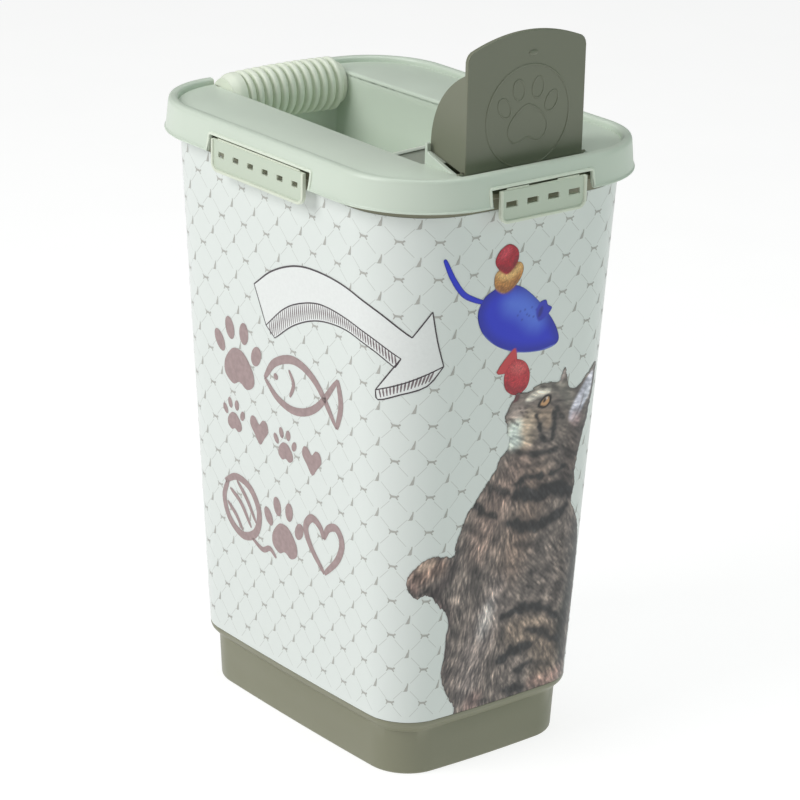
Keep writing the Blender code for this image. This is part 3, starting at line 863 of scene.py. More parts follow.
@dataclass
class Artwork:
    """Everything printed on the sleeve: tiny animals on the lattice, arrow, brush marks, toys and a tabby."""

    column: float = PERIMETER / 34
    row: float = 27.2
    node: Point2 = (-71.0, 415.0)

    def build_motifs(self) -> None:
        """A tiny running animal on each lattice node and a tiny sitting one between the nodes."""
        running = [(-4.4, 0.9), (-4.0, 1.8), (-3.2, 2.3), (-2.5, 1.3), (1.9, 1.5), (3.0, 2.7), (3.9, 3.0),
                   (3.2, 1.6), (2.7, 0.2), (3.5, -2.3), (2.8, -2.3), (1.6, -0.4), (-1.3, -0.4),
                   (-2.9, -2.4), (-3.6, -2.0), (-2.6, -0.2), (-3.3, 0.4)]
        sitting = [(1.1, 3.3), (1.9, 4.4), (2.3, 3.2), (2.2, 1.8), (2.0, 0.2), (1.6, -3.6), (0.4, -4.0),
                   (-2.6, -4.2), (-4.2, -4.0), (-2.4, -3.5), (-1.0, -0.8), (0.2, 1.0), (1.0, 2.2)]
        flat = FlatPrint("lattice_motifs", PrintInk("motif_ink", (176, 176, 170)), 0.12)
        for shape, shift, wide in ((running, 0.0, -0.92), (sitting, 0.5, 0.66)):
            for step in range(-16, 4):
                z = self.node[1] + (step + shift) * self.row
                if not SLEEVE_Z[0] + 5 < z < SLEEVE_Z[1] - 4:
                    continue
                for turn in range(34):
                    a = self.node[0] + (turn + shift) * self.column
                    flat.fill([(a + x * wide, z + y * 0.85) for x, y in shape])
        flat.build(strip=0.0)

    def build_arrow(self) -> None:
        """A bold curved arrow pointing round to the front, with a hatched underside."""
        top = spline([(-243, 346), (-221, 362), (-195, 373), (-170, 376), (-140, 373), (-112, 363),
                      (-87, 346)], 6)
        mid = spline([(-94, 330), (-117, 343), (-142, 350), (-168, 352), (-191, 346), (-210, 336),
                      (-231, 318)], 6)
        low = spline([(-221, 311), (-197, 328), (-170, 339), (-141, 341), (-116, 334), (-98, 323)], 6)
        head = [(-74, 365), (-65, 324), (-91, 312), (-112, 304)]
        face = FlatPrint("arrow_face", PrintInk("arrow_white", (228, 231, 229), 0.02), 0.18)
        face.fill(top + head + mid)
        face.fill(mid[::-1] + low[::-1])
        face.fill([(-112, 304), (-65, 324), (-76, 310), (-110, 297)])
        face.build()
        lines = FlatPrint("arrow_lines", PrintInk("arrow_line", (62, 52, 58), 0.1), 0.26)
        for path, width in ((top, 1.3), (mid, 1.0), (low, 1.0)):
            lines.line(path, width, 0.7, 1)
        for path in ([top[-1], head[0]], [head[0], (-70, 343), head[1]], [head[1], head[2], head[3]],
                     [head[3], mid[0]], [mid[-1], top[0]], [mid[-1], low[0]], [low[-1], (-94, 330)],
                     [head[3], (-110, 297), (-94, 303), (-76, 310), head[1]]):
            lines.line(path, 1.0, 0.8, 3)
        hatch = FlatPrint("arrow_hatch", PrintInk("arrow_hatch_ink", (118, 104, 108), 0.2), 0.22)
        upper, lower = np.array(mid[::-1]), np.array(low)
        for at in np.arange(-227.0, -98.0, 2.3):
            high = float(np.interp(at, upper[:, 0], upper[:, 1]))
            foot = float(np.interp(at, lower[:, 0], lower[:, 1]))
            hatch.line([(at, high - 0.4), (at + 1.0, high * 0.12 + foot * 0.88)], 1.25, 0.5, 2)
        for share in np.linspace(0.06, 0.86, 15):
            a = np.array(head[3]) * (1 - share) + np.array(head[1]) * share
            b = np.array((-110, 297)) * (1 - share) + np.array((-70, 314)) * share
            hatch.line([tuple(a), tuple(a * 0.15 + b * 0.85)], 1.4, 0.5, 2)
        hatch.build()
        lines.build()

    def paw(self, flat: FlatPrint, a: float, z: float, size: float) -> None:
        """A paw print: one pad and four toes."""
        pad = [(-0.62, -0.62), (-0.3, -0.82), (0.0, -0.7), (0.3, -0.82), (0.62, -0.62), (0.6, -0.25),
               (0.28, 0.12), (0.0, 0.2), (-0.28, 0.12), (-0.6, -0.25)]
        flat.fill(closed_spline([(a + x * size, z + y * size) for x, y in pad], 4))
        for x, y, lean in ((-0.78, 0.22, 0.5), (-0.3, 0.68, 0.15), (0.3, 0.68, -0.15), (0.78, 0.22, -0.5)):
            flat.ellipse((a + x * size, z + y * size), 0.19 * size, 0.3 * size, lean)

    def build_brush_marks(self) -> None:
        """Mauve brush drawings in three rows: paw and fish, small paws and hearts, yarn, paw and heart."""
        flat = FlatPrint("brush_marks", PrintInk("brush_mauve", (158, 136, 135), 0.12, 260.0), 0.2)
        self.paw(flat, -268, 283, 29)
        flat.line([(-236, 276), (-222, 292), (-198, 300), (-174, 290), (-152, 262)], 6.6, 0.35)
        flat.line([(-236, 276), (-220, 264), (-198, 261), (-174, 272), (-150, 300)], 6.2, 0.35)
        flat.line([(-152, 262), (-147, 281), (-150, 300)], 5.4, 0.5)
        flat.ellipse((-222, 281), 2.6, 2.6)
        flat.line([(-206, 291), (-201, 281), (-206, 270)], 3.6, 0.4)
        for i, a in enumerate((-278, -246, -214, -182)):
            z = 233 - i * 2
            if i % 2 == 0:
                self.paw(flat, a, z, 14)
            else:
                self.heart(flat, a, z, 12)
        flat.line([(-296, 176), (-280, 184), (-262, 180), (-252, 164), (-258, 146), (-276, 138),
                   (-293, 146), (-299, 162), (-292, 178)], 6.6, 0.5)
        flat.line([(-290, 172), (-276, 164), (-264, 148)], 4.2, 0.4)
        flat.line([(-280, 181), (-268, 170), (-257, 154)], 4.2, 0.4)
        flat.line([(-295, 160), (-284, 152), (-276, 142)], 4.0, 0.4)
        flat.line([(-264, 140), (-250, 135), (-240, 139), (-232, 134)], 4.4, 0.4)
        self.paw(flat, -220, 160, 25)
        flat.line([(-170, 142), (-186, 158), (-192, 172), (-184, 182), (-174, 178), (-170, 170)], 6.4, 0.45)
        flat.line([(-170, 170), (-164, 180), (-154, 183), (-148, 173), (-154, 158), (-170, 142)], 6.4, 0.45)
        flat.build()

    def heart(self, flat: FlatPrint, a: float, z: float, size: float) -> None:
        """A small filled heart."""
        points = [(0, -0.9), (0.5, -0.35), (0.95, 0.2), (0.8, 0.75), (0.38, 0.8), (0, 0.42), (-0.38, 0.8),
                  (-0.8, 0.75), (-0.95, 0.2), (-0.5, -0.35)]
        flat.fill(closed_spline([(a + x * size, z + y * size) for x, y in points], 3))

    def build_toys(self) -> None:
        """A blue toy mouse balanced between pieces of kibble."""
        art = Painting("toy_print", (-72.0, 287.0), (38.0, 411.0), 0.8, 0.3)
        blue = (20, 44, 205)
        art.stroke([(-67, 402), (-61, 388), (-53, 376), (-44, 370), (-35, 366)], 2.1, blue, 0.5, cover=True)
        body = [(-37, 367), (-40, 357), (-35, 343), (-22, 331), (-4, 323), (15, 320), (28, 321), (33, 326),
                (28, 338), (19, 350), (7, 363), (-6, 373), (-20, 376), (-32, 372)]
        art.shape(body, blue, cover=True)
        rim = art.depth_in(closed_spline(body, 5))
        inside = rim > 0
        art.lay(np.where(inside, 5 - rim, -9), (12, 24, 140), 5.0, 0.6, False)
        art.stroke([(-14, 362), (0, 356), (12, 342)], 9.0, (92, 132, 236), 9.0, 0.75)
        art.stroke([(-36, 343), (-22, 330), (-4, 322.6), (15, 319.6), (30, 321.6)], 0.8, (120, 140, 225), 0.6,
                   0.8)
        for i, a in enumerate(np.linspace(-6, 16, 12)):
            art.stroke([(a, 351 + 4 * math.sin(i * 2.4))], 0.7, (14, 26, 150), 0.6, 0.7)
        ear = [(10, 351), (13, 357), (18, 358), (20, 354), (24, 351), (20, 346), (13, 343)]
        art.shape(ear, (40, 52, 190), cover=True)
        art.stroke([(13, 347), (15, 353)], 1.6, (12, 16, 120), 1.2, 0.8)
        ring = [(-28, 381), (-26, 387), (-16, 391), (-7, 391), (-4, 385), (-8, 376), (-18, 370), (-26, 374)]
        art.shape(ring, (196, 138, 74), cover=True)
        art.stroke([(-25, 385), (-16, 383), (-7, 388)], 3.2, (228, 188, 122), 2.5, 0.8)
        art.stroke([(-25, 376), (-16, 372), (-8, 379)], 2.2, (120, 70, 34), 2.5, 0.7)
        top = [(-28, 396), (-24, 403), (-17, 406), (-10, 401), (-9, 393), (-14, 386), (-19, 384), (-26, 390)]
        art.shape(top, (170, 18, 42), cover=True)
        art.stroke([(-23, 398), (-18, 402)], 3.6, (222, 80, 96), 3.0, 0.6)
        art.stroke([(-24, 390), (-14, 387), (-10, 395)], 2.0, (104, 8, 28), 2.0, 0.6)
        low = [(-6, 318), (4, 314), (9, 304), (7, 294), (-2, 290), (-11, 295), (-14, 304), (-12, 313)]
        art.shape([(-21, 311), (-9, 325), (-5, 325), (-4, 314), (-12, 309)], (202, 66, 70), 0.6, cover=True,
                  steps=3)
        art.shape(low, (186, 48, 58), cover=True)
        art.stroke([(-6, 312), (2, 309)], 4.0, (224, 110, 110), 4.0, 0.55)
        art.stroke([(-11, 300), (-4, 293), (5, 295)], 2.4, (120, 20, 36), 2.4, 0.6)
        crumb = np.random.default_rng(5).standard_normal(len(art.x))
        kibble = np.maximum.reduce([art.depth_in(closed_spline(p, 4)) for p in (ring, top, low)]) > 0
        art.colour *= np.where(kibble, np.exp(0.20 * crumb), 1.0)[:, None]
        art.build()

    def build_tabby(self) -> None:
        """A sitting tabby looking up, its fur laid in stripes and hairs."""
        art = Painting("tabby_print", (-90.0, 46.2), (86.0, 304.0), 0.95, 0.36)
        mid, light, dark = (112, 103, 98), (200, 180, 158), (28, 31, 34)
        body = [(-3, 288), (-1, 291), (4, 290), (11, 290), (18, 293), (26, 294), (33, 292), (37, 291),
                (40, 297), (42, 302), (44, 295), (47, 287), (52, 284), (57, 285), (63, 289), (71, 294),
                (79, 297), (79, 287), (77, 276), (74, 266), (71, 255), (67, 244), (64, 232), (62, 218),
                (63, 205), (62, 192), (68, 184), (75, 172), (80, 155), (82, 130), (82, 105), (81, 85),
                (79, 60), (77, 40), (20, 38), (-37, 40), (-41, 52), (-49, 64), (-55, 80), (-53, 97),
                (-52, 112), (-51, 124), (-56, 134), (-62, 141), (-67, 146), (-72, 148), (-79, 146),
                (-84, 150), (-86, 157), (-84, 165), (-79, 171), (-72, 176), (-64, 178), (-56, 176),
                (-49, 175), (-47, 184), (-43, 196), (-38, 206), (-31, 215), (-24, 225), (-15, 235),
                (-12, 243), (-8, 247), (-4, 252), (-6, 260), (-8, 268), (-10, 274), (-9, 279),
                (-6, 284)]
        art.shape(body, mid, 0.6, cover=True, steps=4)
        tones = [
            ([(10, 240), (-6, 218), (-20, 196), (-26, 172)], 14, (150, 128, 118), 12, 0.7),
            ([(25, 228), (20, 200), (10, 176), (4, 150)], 16, (130, 110, 98), 14, 0.6),
            ([(-6, 140), (-16, 110), (-26, 84), (-30, 60)], 12, (148, 136, 132), 12, 0.7),
            ([(-12, 128), (-18, 106)], 5, (196, 192, 190), 7, 0.6),
            ([(10, 100), (34, 96), (52, 76), (46, 56)], 15, (132, 116, 102), 10, 0.7),
            ([(-52, 118), (-51, 92), (-46, 66)], 4, (78, 70, 70), 5, 0.6),
            ([(-18, 54), (-28, 48)], 7, (158, 130, 124), 6, 0.6),
            ([(38, 52), (56, 50), (70, 54)], 6, (156, 124, 116), 6, 0.6),
            ([(60, 262), (62, 244), (56, 226), (54, 206)], 10, (66, 58, 56), 9, 0.75),
            ([(73, 170), (77, 146), (74, 118), (66, 92), (70, 66)], 9, (34, 40, 38), 7, 0.9),
            ([(56, 166), (60, 134), (54, 116)], 5, (58, 54, 52), 6, 0.6),
            ([(14, 266), (6, 262), (10, 254)], 10, light, 8, 0.9),
            ([(0, 268), (-2, 258), (2, 252)], 6.5, (226, 236, 228), 5, 0.95),
            ([(-4, 276), (4, 276)], 5.5, (176, 160, 152), 4, 0.9),
            ([(16, 290), (30, 291), (44, 284), (50, 272)], 6, (128, 124, 116), 5, 0.8),
            ([(9, 284), (18, 286.5), (28, 287)], 2.6, (236, 228, 214), 2, 0.9),
            ([(18, 268), (28, 270), (30, 260)], 5, (172, 150, 130), 4, 0.7),
            ([(42, 270), (48, 262), (44, 250)], 6, (104, 96, 90), 5, 0.7)]
        stripes = [
            ([(2, 247), (14, 241), (26, 239), (42, 240)], 2.6, 2.0, 0.9),
            ([(-9, 241), (11, 232), (32, 231)], 1.3, 1.3, 0.6),
            ([(3, 220), (18, 222), (34, 220), (52, 224)], 2.6, 1.8, 0.95),
            ([(4, 213), (26, 207), (44, 208), (60, 200)], 6.4, 2.6, 0.97),
            ([(-22, 225), (-12, 218), (0, 213)], 3.2, 1.8, 0.9),
            ([(-33, 213), (-24, 204), (-12, 198)], 3.2, 1.8, 0.9),
            ([(-2, 191), (20, 183), (42, 184), (57, 190)], 5.2, 2.4, 0.95),
            ([(-40, 198), (-30, 188), (-20, 184)], 2.2, 1.6, 0.6),
            ([(6, 172), (26, 168), (50, 174)], 2.4, 2.6, 0.6),
            ([(-34, 170), (-26, 150), (-28, 132)], 4.0, 3.6, 0.55),
            ([(8, 150), (2, 132), (-4, 120)], 2.4, 2.4, 0.5),
            ([(0, 114), (18, 118), (40, 113), (58, 102)], 3.8, 2.0, 0.95),
            ([(28, 98), (46, 91), (64, 80)], 3.6, 2.0, 0.9), ([(0, 78), (14, 84), (34, 84)], 4.2, 2.0, 0.95),
            ([(16, 66), (36, 70)], 2.8, 1.6, 0.9), ([(10, 53), (28, 50)], 4.0, 1.8, 0.9),
            ([(2, 104), (4, 92)], 3.0, 2.0, 0.8),
            ([(-22, 52), (-8, 49)], 2.6, 1.6, 0.8), ([(40, 68), (56, 62)], 3.0, 2.0, 0.7),
            ([(16, 140), (34, 146), (50, 140)], 2.6, 2.6, 0.5),
            ([(18, 270), (22, 262), (26, 253), (34, 245)], 1.7, 1.0, 0.95),
            ([(34, 270), (37, 260), (35, 248)], 2.3, 1.2, 0.9),
            ([(31, 277), (39, 270), (46, 262)], 1.3, 1.0, 0.8),
            ([(14, 275), (20, 272), (26, 271)], 1.0, 0.8, 0.7),
            ([(-9, 275.5), (-4, 270.5), (2, 266)], 0.9, 0.7, 0.75), ([(20, 292), (28, 289)], 1.2, 1.0, 0.6),
            ([(28, 293), (37, 287)], 1.2, 1.0, 0.6)]
        paw = [
            ([(-80, 160), (-70, 168), (-58, 170)], 8, (128, 106, 96), 6, 0.8),
            ([(-78, 169), (-66, 174)], 3, (178, 156, 140), 3, 0.7),
            ([(-64, 150), (-54, 158), (-47, 170)], 5, (48, 42, 44), 4, 0.8),
            ([(-66, 147), (-56, 136), (-50, 122)], 5, (54, 46, 48), 4, 0.8),
            ([(-83, 153), (-76, 156), (-72, 162)], 0.9, dark, 0.8, 0.6),
            ([(-77, 148), (-71, 152), (-67, 158)], 0.9, dark, 0.8, 0.6),
            ([(-82, 158), (-79, 151)], 2.4, (168, 140, 130), 2, 0.6)]
        ear = [
            ([(54, 262), (62, 274), (72, 288)], 6.2, (206, 206, 220), 2.0, 0.95),
            ([(66, 272), (72, 282)], 4.0, (222, 224, 236), 2.0, 0.8),
            ([(55, 262), (60, 258)], 5.0, (190, 164, 164), 4.0, 0.7),
            ([(52, 284), (62, 289), (76, 296)], 1.7, (120, 112, 106), 1.2, 0.9),
            ([(78, 294), (76, 278), (72, 262), (66, 248)], 2.2, (44, 40, 40), 1.4, 0.9),
            ([(54, 258), (60, 266), (64, 276)], 0.9, (120, 112, 116), 0.8, 0.7),
            ([(39, 292), (42, 299)], 2.0, (164, 152, 148), 1.2, 0.8)]
        for path, radius, ink, soft, strength in tones + paw + ear:
            art.stroke(path, radius, ink, soft, strength)
        face = smoothstep(240.0, 262.0, art.y)
        sway = 0.25 * np.sin(art.y / 17.0) + 0.2 * np.sin(art.x / 13.0)
        way_x = ((np.clip(art.x, -60, 60) + 20) / 90 + sway) * (1 - face) + face
        way_y = -1.0 * (1 - face) - 0.35 * face
        calm = 1 - 0.4 * face
        fine = art.hair(way_x, way_y, 5.0, 3)
        ragged = (0.9 * fine + 0.9 * art.blotch(9.0, 21)) * calm
        for path, radius, soft, strength in stripes:
            art.stroke(path, radius, dark, soft, strength, ragged=ragged)
        hairs = 0.36 * fine + 0.26 * art.hair(way_x + 0.35, way_y, 9.0, 8) + 0.2 * art.blotch(13.0, 30)
        art.colour *= np.exp((hairs * calm)[:, None] * np.array([1.04, 1.0, 0.95]))
        art.cover += 0.9 * hairs * np.clip(1 - art.cover / 4, 0, 1)
        art.shape([(18.5, 277), (21, 281), (26, 284.5), (31, 283), (31, 278), (27, 274.5), (22, 274.5)],
                  (24, 22, 22), 0.6)
        art.shape([(21.5, 277.6), (24, 281.2), (28, 282.6), (29.4, 279), (26.5, 276.2)], (206, 158, 112), 0.5)
        art.stroke([(24.2, 279.2), (26.0, 281.4)], 1.1, (20, 18, 18), 0.6)
        art.stroke([(26.8, 281.6)], 0.6, (250, 250, 250), 0.5)
        art.shape([(-5, 288), (-2, 291), (1.5, 289.5), (0.5, 286), (-3.5, 284.5)], (104, 66, 68), 0.8)
        for a, z in ((2.5, 279), (4.5, 275.5), (6.5, 272), (7.5, 278), (9, 274.5), (10, 270.5)):
            art.stroke([(a - 1.2, z + 0.8), (a + 1.2, z - 0.8)], 0.7, (70, 58, 56), 0.6, 0.8)
        art.build()

    def build(self) -> None:
        """Lay every print."""
        self.build_motifs()
        self.build_arrow()
        self.build_brush_marks()
        self.build_toys()
        self.build_tabby()


# ==================================================================================================
# Lid
# ==================================================================================================
class Zone(Enum):
    """What a stretch of the lid's edge has to leave room for."""

    PLAIN = "plain"
    NOTCH = "notch"
    BED = "bed"
    BED_NOTCH = "bed_notch"


@dataclass
class Lid:
    """The sage lid: deck, bead and skirt, hand recess, pour opening guards and notch rims."""

    body: str = "lid"
    slot: str = "lid_plastic"
    bead_z: float = 462.0
    notch_top_z: float = 450.8
    shelf_z: float = 452.3
    recess_back_y: float = 144.0
    recess_front_y: float = -67.0
    recess_floor_z: float = 398.0
    opening_half: float = 54.2
    opening_front_y: float = -143.4
    step_y: float = -104.4
    crest_z: float = 456.2
    zones: list[tuple[Side, float, Zone, int]] = field(default_factory=lambda: [
        (Side.FRONT, -45.0, Zone.NOTCH, 30), (Side.FRONT, 45.0, Zone.PLAIN, 90),
        (Side.RIGHT, -60.0, Zone.NOTCH, 40), (Side.RIGHT, 60.0, Zone.PLAIN, 80),
        (Side.BACK, 53.0, Zone.BED, 3), (Side.BACK, 45.0, Zone.BED_NOTCH, 24),
        (Side.BACK, -45.0, Zone.BED, 3), (Side.BACK, -53.0, Zone.PLAIN, 80),
        (Side.LEFT, 60.0, Zone.NOTCH, 40), (Side.LEFT, -60.0, Zone.PLAIN, 90)])

    def recess_half(self, y: np.ndarray) -> np.ndarray:
        """Half the recess's width, which grows towards the front."""
        return 53.0 + 4.4 * (self.recess_back_y - y) / (self.recess_back_y - self.recess_front_y)

    def recess_floor(self, y: np.ndarray) -> np.ndarray:
        """The recess floor's height."""
        share = np.maximum(0.0, (70.0 - y) / (70.0 - self.recess_front_y))
        return self.recess_floor_z + (self.crest_z - self.recess_floor_z) * share ** 3

    def section(self, zone: Zone) -> list[Point2]:
        """The lid edge's section from the deck out over the bead, down the skirt and back inside.

        Args:
            zone: what the stretch leaves room for.

        Returns:
            Offsets outward from the bead's crest and heights; every zone has as many.
        """
        bead = self.bead_z
        outer = [(-7.4, DECK_Z), (-7.0, DECK_Z - 0.2), (-6.7, DECK_Z - 0.9), (-6.0, DECK_Z - 0.9)]
        outer += spline([(-5.75, DECK_Z - 0.4), (-5.6, DECK_Z + 2.2), (-4.6, bead - 0.45), (-2.0, bead),
                         (0.8, bead - 0.5),
                         (2.4, bead - 2.2), (3.0, 457.0), (3.6, 453.0), (4.2, 449.0), (5.1, 443.0),
                         (5.7, 440.6)], 4)
        outer += [(6.3, 440.0), (6.9, 439.8), (7.1, 439.5), (7.1, 439.15), (6.9, 439.0)]
        inner = [(5.3, 439.0), (5.0, 439.3), (3.0, 442.0), (2.0, 449.0), (0.7, 457.0), (-0.8, 459.3),
                 (-3.0, 458.6), (-3.2, 449.7), (-5.2, 449.7), (-5.4, 455.8)]
        if zone in (Zone.BED, Zone.BED_NOTCH):
            outer = [(min(offset, 3.6) if z > self.shelf_z else offset, min(z, self.shelf_z))
                     for offset, z in outer]
            inner = [(offset, min(z, 450.0)) for offset, z in inner]
        if zone in (Zone.NOTCH, Zone.BED_NOTCH):
            top = self.notch_top_z
            outer = [(4.0, top) if z < top and offset > 0 else (offset, z) for offset, z in outer]
            inner = [(1.8, top) if z < top and offset > 1.7 else (offset, z) for offset, z in inner]
        return outer + inner

    def hole_path(self, index: int) -> list[Point2]:
        """The hole's corner points along one zone of the edge."""
        half = float(self.recess_half(np.array(-66.9)))
        side = [(float(self.recess_half(np.array(y))), y) for y in (-60.0, 60.0)]
        front = [(50.0, self.opening_front_y), (self.opening_half, self.opening_front_y),
                 (self.opening_half, self.step_y), (half, self.step_y + 0.1), (half, self.recess_front_y),
                 side[0]]
        paths = {0: [(-50.0, self.opening_front_y), (50.0, self.opening_front_y)], 1: front, 2: side,
                 3: [side[1], (53.0, self.recess_back_y)],
                 4: [(53.0, self.recess_back_y), (45.0, self.recess_back_y)],
                 5: [(45.0, self.recess_back_y), (-45.0, self.recess_back_y)]}
        if index in paths:
            return paths[index]
        return [(-x, y) for x, y in reversed(paths[{6: 4, 7: 3, 8: 2, 9: 1}[index]])]

    def hole_ring(self) -> np.ndarray:
        """Plan points of the hole's edge, matched one to one with the edge's stations."""
        rows = []
        for index, (_, _, _, count) in enumerate(self.zones):
            path = np.array(self.hole_path(index))
            length = np.concatenate([[0.0], np.cumsum(np.hypot(*np.diff(path, axis=0).T))])
            at = np.linspace(0, length[-1], count + 1)
            for corner in length[1:-1]:
                at[np.argmin(abs(at - corner))] = corner
            rows.append(np.column_stack([np.interp(at, length, path[:, 0]),
                                         np.interp(at, length, path[:, 1])]))
        return np.vstack(rows)

    def edge_ring(self, index: int) -> np.ndarray:
        """Points of one ring of the edge's section, all the way round."""
        rows = []
        for start, end in zip(self.zones, self.zones[1:] + self.zones[:1]):
            offset, z = self.section(start[2])[index]
            radius = 61.3 + 2.0 * max(offset, 0.0) + min(offset, 0.0)
            outline = Outline(117.4 + offset, 158.7 + offset, radius)
            low, high = outline.mark(start[0], start[1]), outline.mark(end[0], end[1])
            if high < low:
                high += 4 * outline.quarter
            plan = outline.at(np.linspace(low, high, start[3] + 1))
            rows.append(np.column_stack([plan, np.full(len(plan), z)]))
        return np.vstack(rows)

    def hole_rings(self) -> list[np.ndarray]:
        """Rings down the hole's rounded edge, from its underside up to the deck.

        Returns:
            One ring of points per level, as many as the edge's own rings have.
        """
        plan = self.hole_ring()
        in_bed = np.concatenate([np.full(count + 1, zone in (Zone.BED, Zone.BED_NOTCH))
                                 for _, _, zone, count in self.zones])
        x, y, near = np.abs(plan[:, 0]), plan[:, 1], 0.02
        half = np.where(y > self.step_y + near, self.recess_half(np.maximum(y, self.recess_front_y)),
                        self.opening_half)
        at_side = (x > half - near) & ~in_bed
        at_side |= (x > self.opening_half - near) & (y < self.recess_front_y)
        at_front, at_back = y < self.opening_front_y + near, y > self.recess_back_y - near
        out = np.column_stack([np.where(at_side, np.sign(plan[:, 0]), 0.0), 1.0 * at_back - at_front])
        rings = []
        for push, drop, bed_drop in ((3.5, 3.2, 2.3), (0.0, 3.2, 2.3), (0.0, 2.2, 0.9), (0.15, 1.4, 0.6),
                                     (0.62, 0.62, 0.3), (1.35, 0.16, 0.1), (2.2, 0.0, 0.0)):
            z = np.where(in_bed, self.shelf_z - bed_drop, DECK_Z - drop)
            rings.append(np.column_stack([plan + out * push, z]))
        return rings

    def build_shell(self) -> bpy.types.Object:
        """Loft from the hole's edge out over the deck, bead and skirt, and back under."""
        count = len(self.section(Zone.PLAIN))
        rings = self.hole_rings() + [self.edge_ring(i) for i in range(count)]
        obj = finish_mesh("lid_top", closed_loft(rings, torus=True), Palette.SAGE.material(), sharp=32.0)
        return mount(obj, self.body, self.slot, "lid_shell")

    def build_tray(self) -> bpy.types.Object:
        """The hand recess: a trough whose floor rises forward to a thin crest, closed at the back.

        Returns:
            The trough, with its wall thickness as a modifier.
        """
        corner, top_z = 6.0, DECK_Z - 2.3

        def place(u: np.ndarray, v: np.ndarray) -> np.ndarray:
            """The trough's point at a share across and a share towards the front."""
            y = self.recess_back_y + (self.recess_front_y - self.recess_back_y) * v
            half, floor = self.recess_half(y), self.recess_floor(y)
            round_r = np.minimum(corner, (top_z - floor) * 0.45 + 0.05)
            side = np.sign(0.5 - u)
            w = np.abs(u - 0.5) * 2
            flat = np.clip(w / 0.6, 0, 1)
            turn = np.clip((w - 0.6) / 0.2, 0, 1) * math.pi / 2
            rise = np.clip((w - 0.8) / 0.2, 0, 1)
            x = (half - round_r) * flat + round_r * np.sin(turn)
            z = floor + round_r * (1 - np.cos(turn)) + rise * (top_z - floor - round_r)
            bend = smoothstep(0.86, 1.0, v) * 4.0 * (1 - (x / half) ** 2)
            return np.column_stack([side * x, y + bend, z])

        bm = sheet(80, 90, place)
        back = [e for e in bm.edges if all(abs(v.co.y - self.recess_back_y) < 1e-3 for v in e.verts)]
        ends = [v for v in {v for e in back for v in e.verts} if abs(v.co.z - top_z) < 1e-3]
        bridge = bmesh.ops.contextual_create(bm, geom=ends)["edges"]
        bmesh.ops.contextual_create(bm, geom=back + bridge)
        bmesh.ops.bevel(bm, geom=back, offset=4.0, segments=5, profile=0.5, affect="EDGES", material=-1)
        bmesh.ops.recalc_face_normals(bm, faces=bm.faces)
        floor_face = min((f for f in bm.faces if abs(f.normal.z) > 0.9),
                         key=lambda f: f.calc_center_median().z)
        if floor_face.normal.z < 0:
            bmesh.ops.reverse_faces(bm, faces=bm.faces)
        obj = finish_mesh("hand_recess", bm, Palette.SAGE.material(), recalc=False)
        thick = obj.modifiers.new("wall", "SOLIDIFY")
        thick.thickness = 2.2 * MM
        thick.offset = -1.0
        soften(obj, 0.5, 2, 50.0)
        return mount(obj, self.body, self.slot)

    def build_guards(self) -> None:
        """A low fin rising to a small post on each side of the pour opening, over its hinge boss."""
        front, post = -137.0, -106.0
        for name, low_x in (("left", -57.4), ("right", 54.2)):
            line = spline([(front, DECK_Z - 0.4), (-128.0, DECK_Z + 2.2), (-114.0, DECK_Z + 6.6),
                           (post - 1.3, DECK_Z + 9.5)], 4)
            line += [(post - 1.3, DECK_Z + 15.0), (post + 1.3, DECK_Z + 15.0), (post + 1.3, DECK_Z - 3.2),
                     (front, DECK_Z - 3.2)]
            bm = prism([(low_x, y, z) for y, z in line], (3.2, 0, 0))
            obj = soften(finish_mesh(f"flap_guard_{name}", bm, Palette.SAGE.material()), 0.5)
            mount(obj, self.body, self.slot)
            side = math.copysign(1.0, low_x)
            low, high = sorted((side * 54.25, side * 58.4))
            bm = block((low, HINGE_Y - 4.2, 451.5), (high, HINGE_Y + 4.2, DECK_Z - 0.7))
            mount(soften(finish_mesh(f"hinge_boss_{name}", bm, Palette.SAGE.material()), 0.8), self.body,
                  self.slot)

    def build_crest(self) -> None:
        """The sloping wall, arched in plan, that closes the recess towards the pour opening."""
        across = np.linspace(-57.2, 57.2, 41)
        arch = self.recess_front_y + 4.0 * (1 - (across / 57.4) ** 2)
        section = [(-0.2, 456.2), (-7.4, 443.0), (-5.7, 442.2), (1.5, 454.6), (1.5, 456.2)]
        rings = [np.array([(x, y + shift, z) for shift, z in section]) for x, y in zip(across, arch)]
        # The crest takes the lighter rim sage: painted highlight that brightens the wall where it stands in
        # the flap's shade.
        obj = finish_mesh("recess_crest", closed_loft(rings), Palette.RIM_HIGHLIGHT.material())
        mount(soften(obj, 0.4), self.body, self.slot)

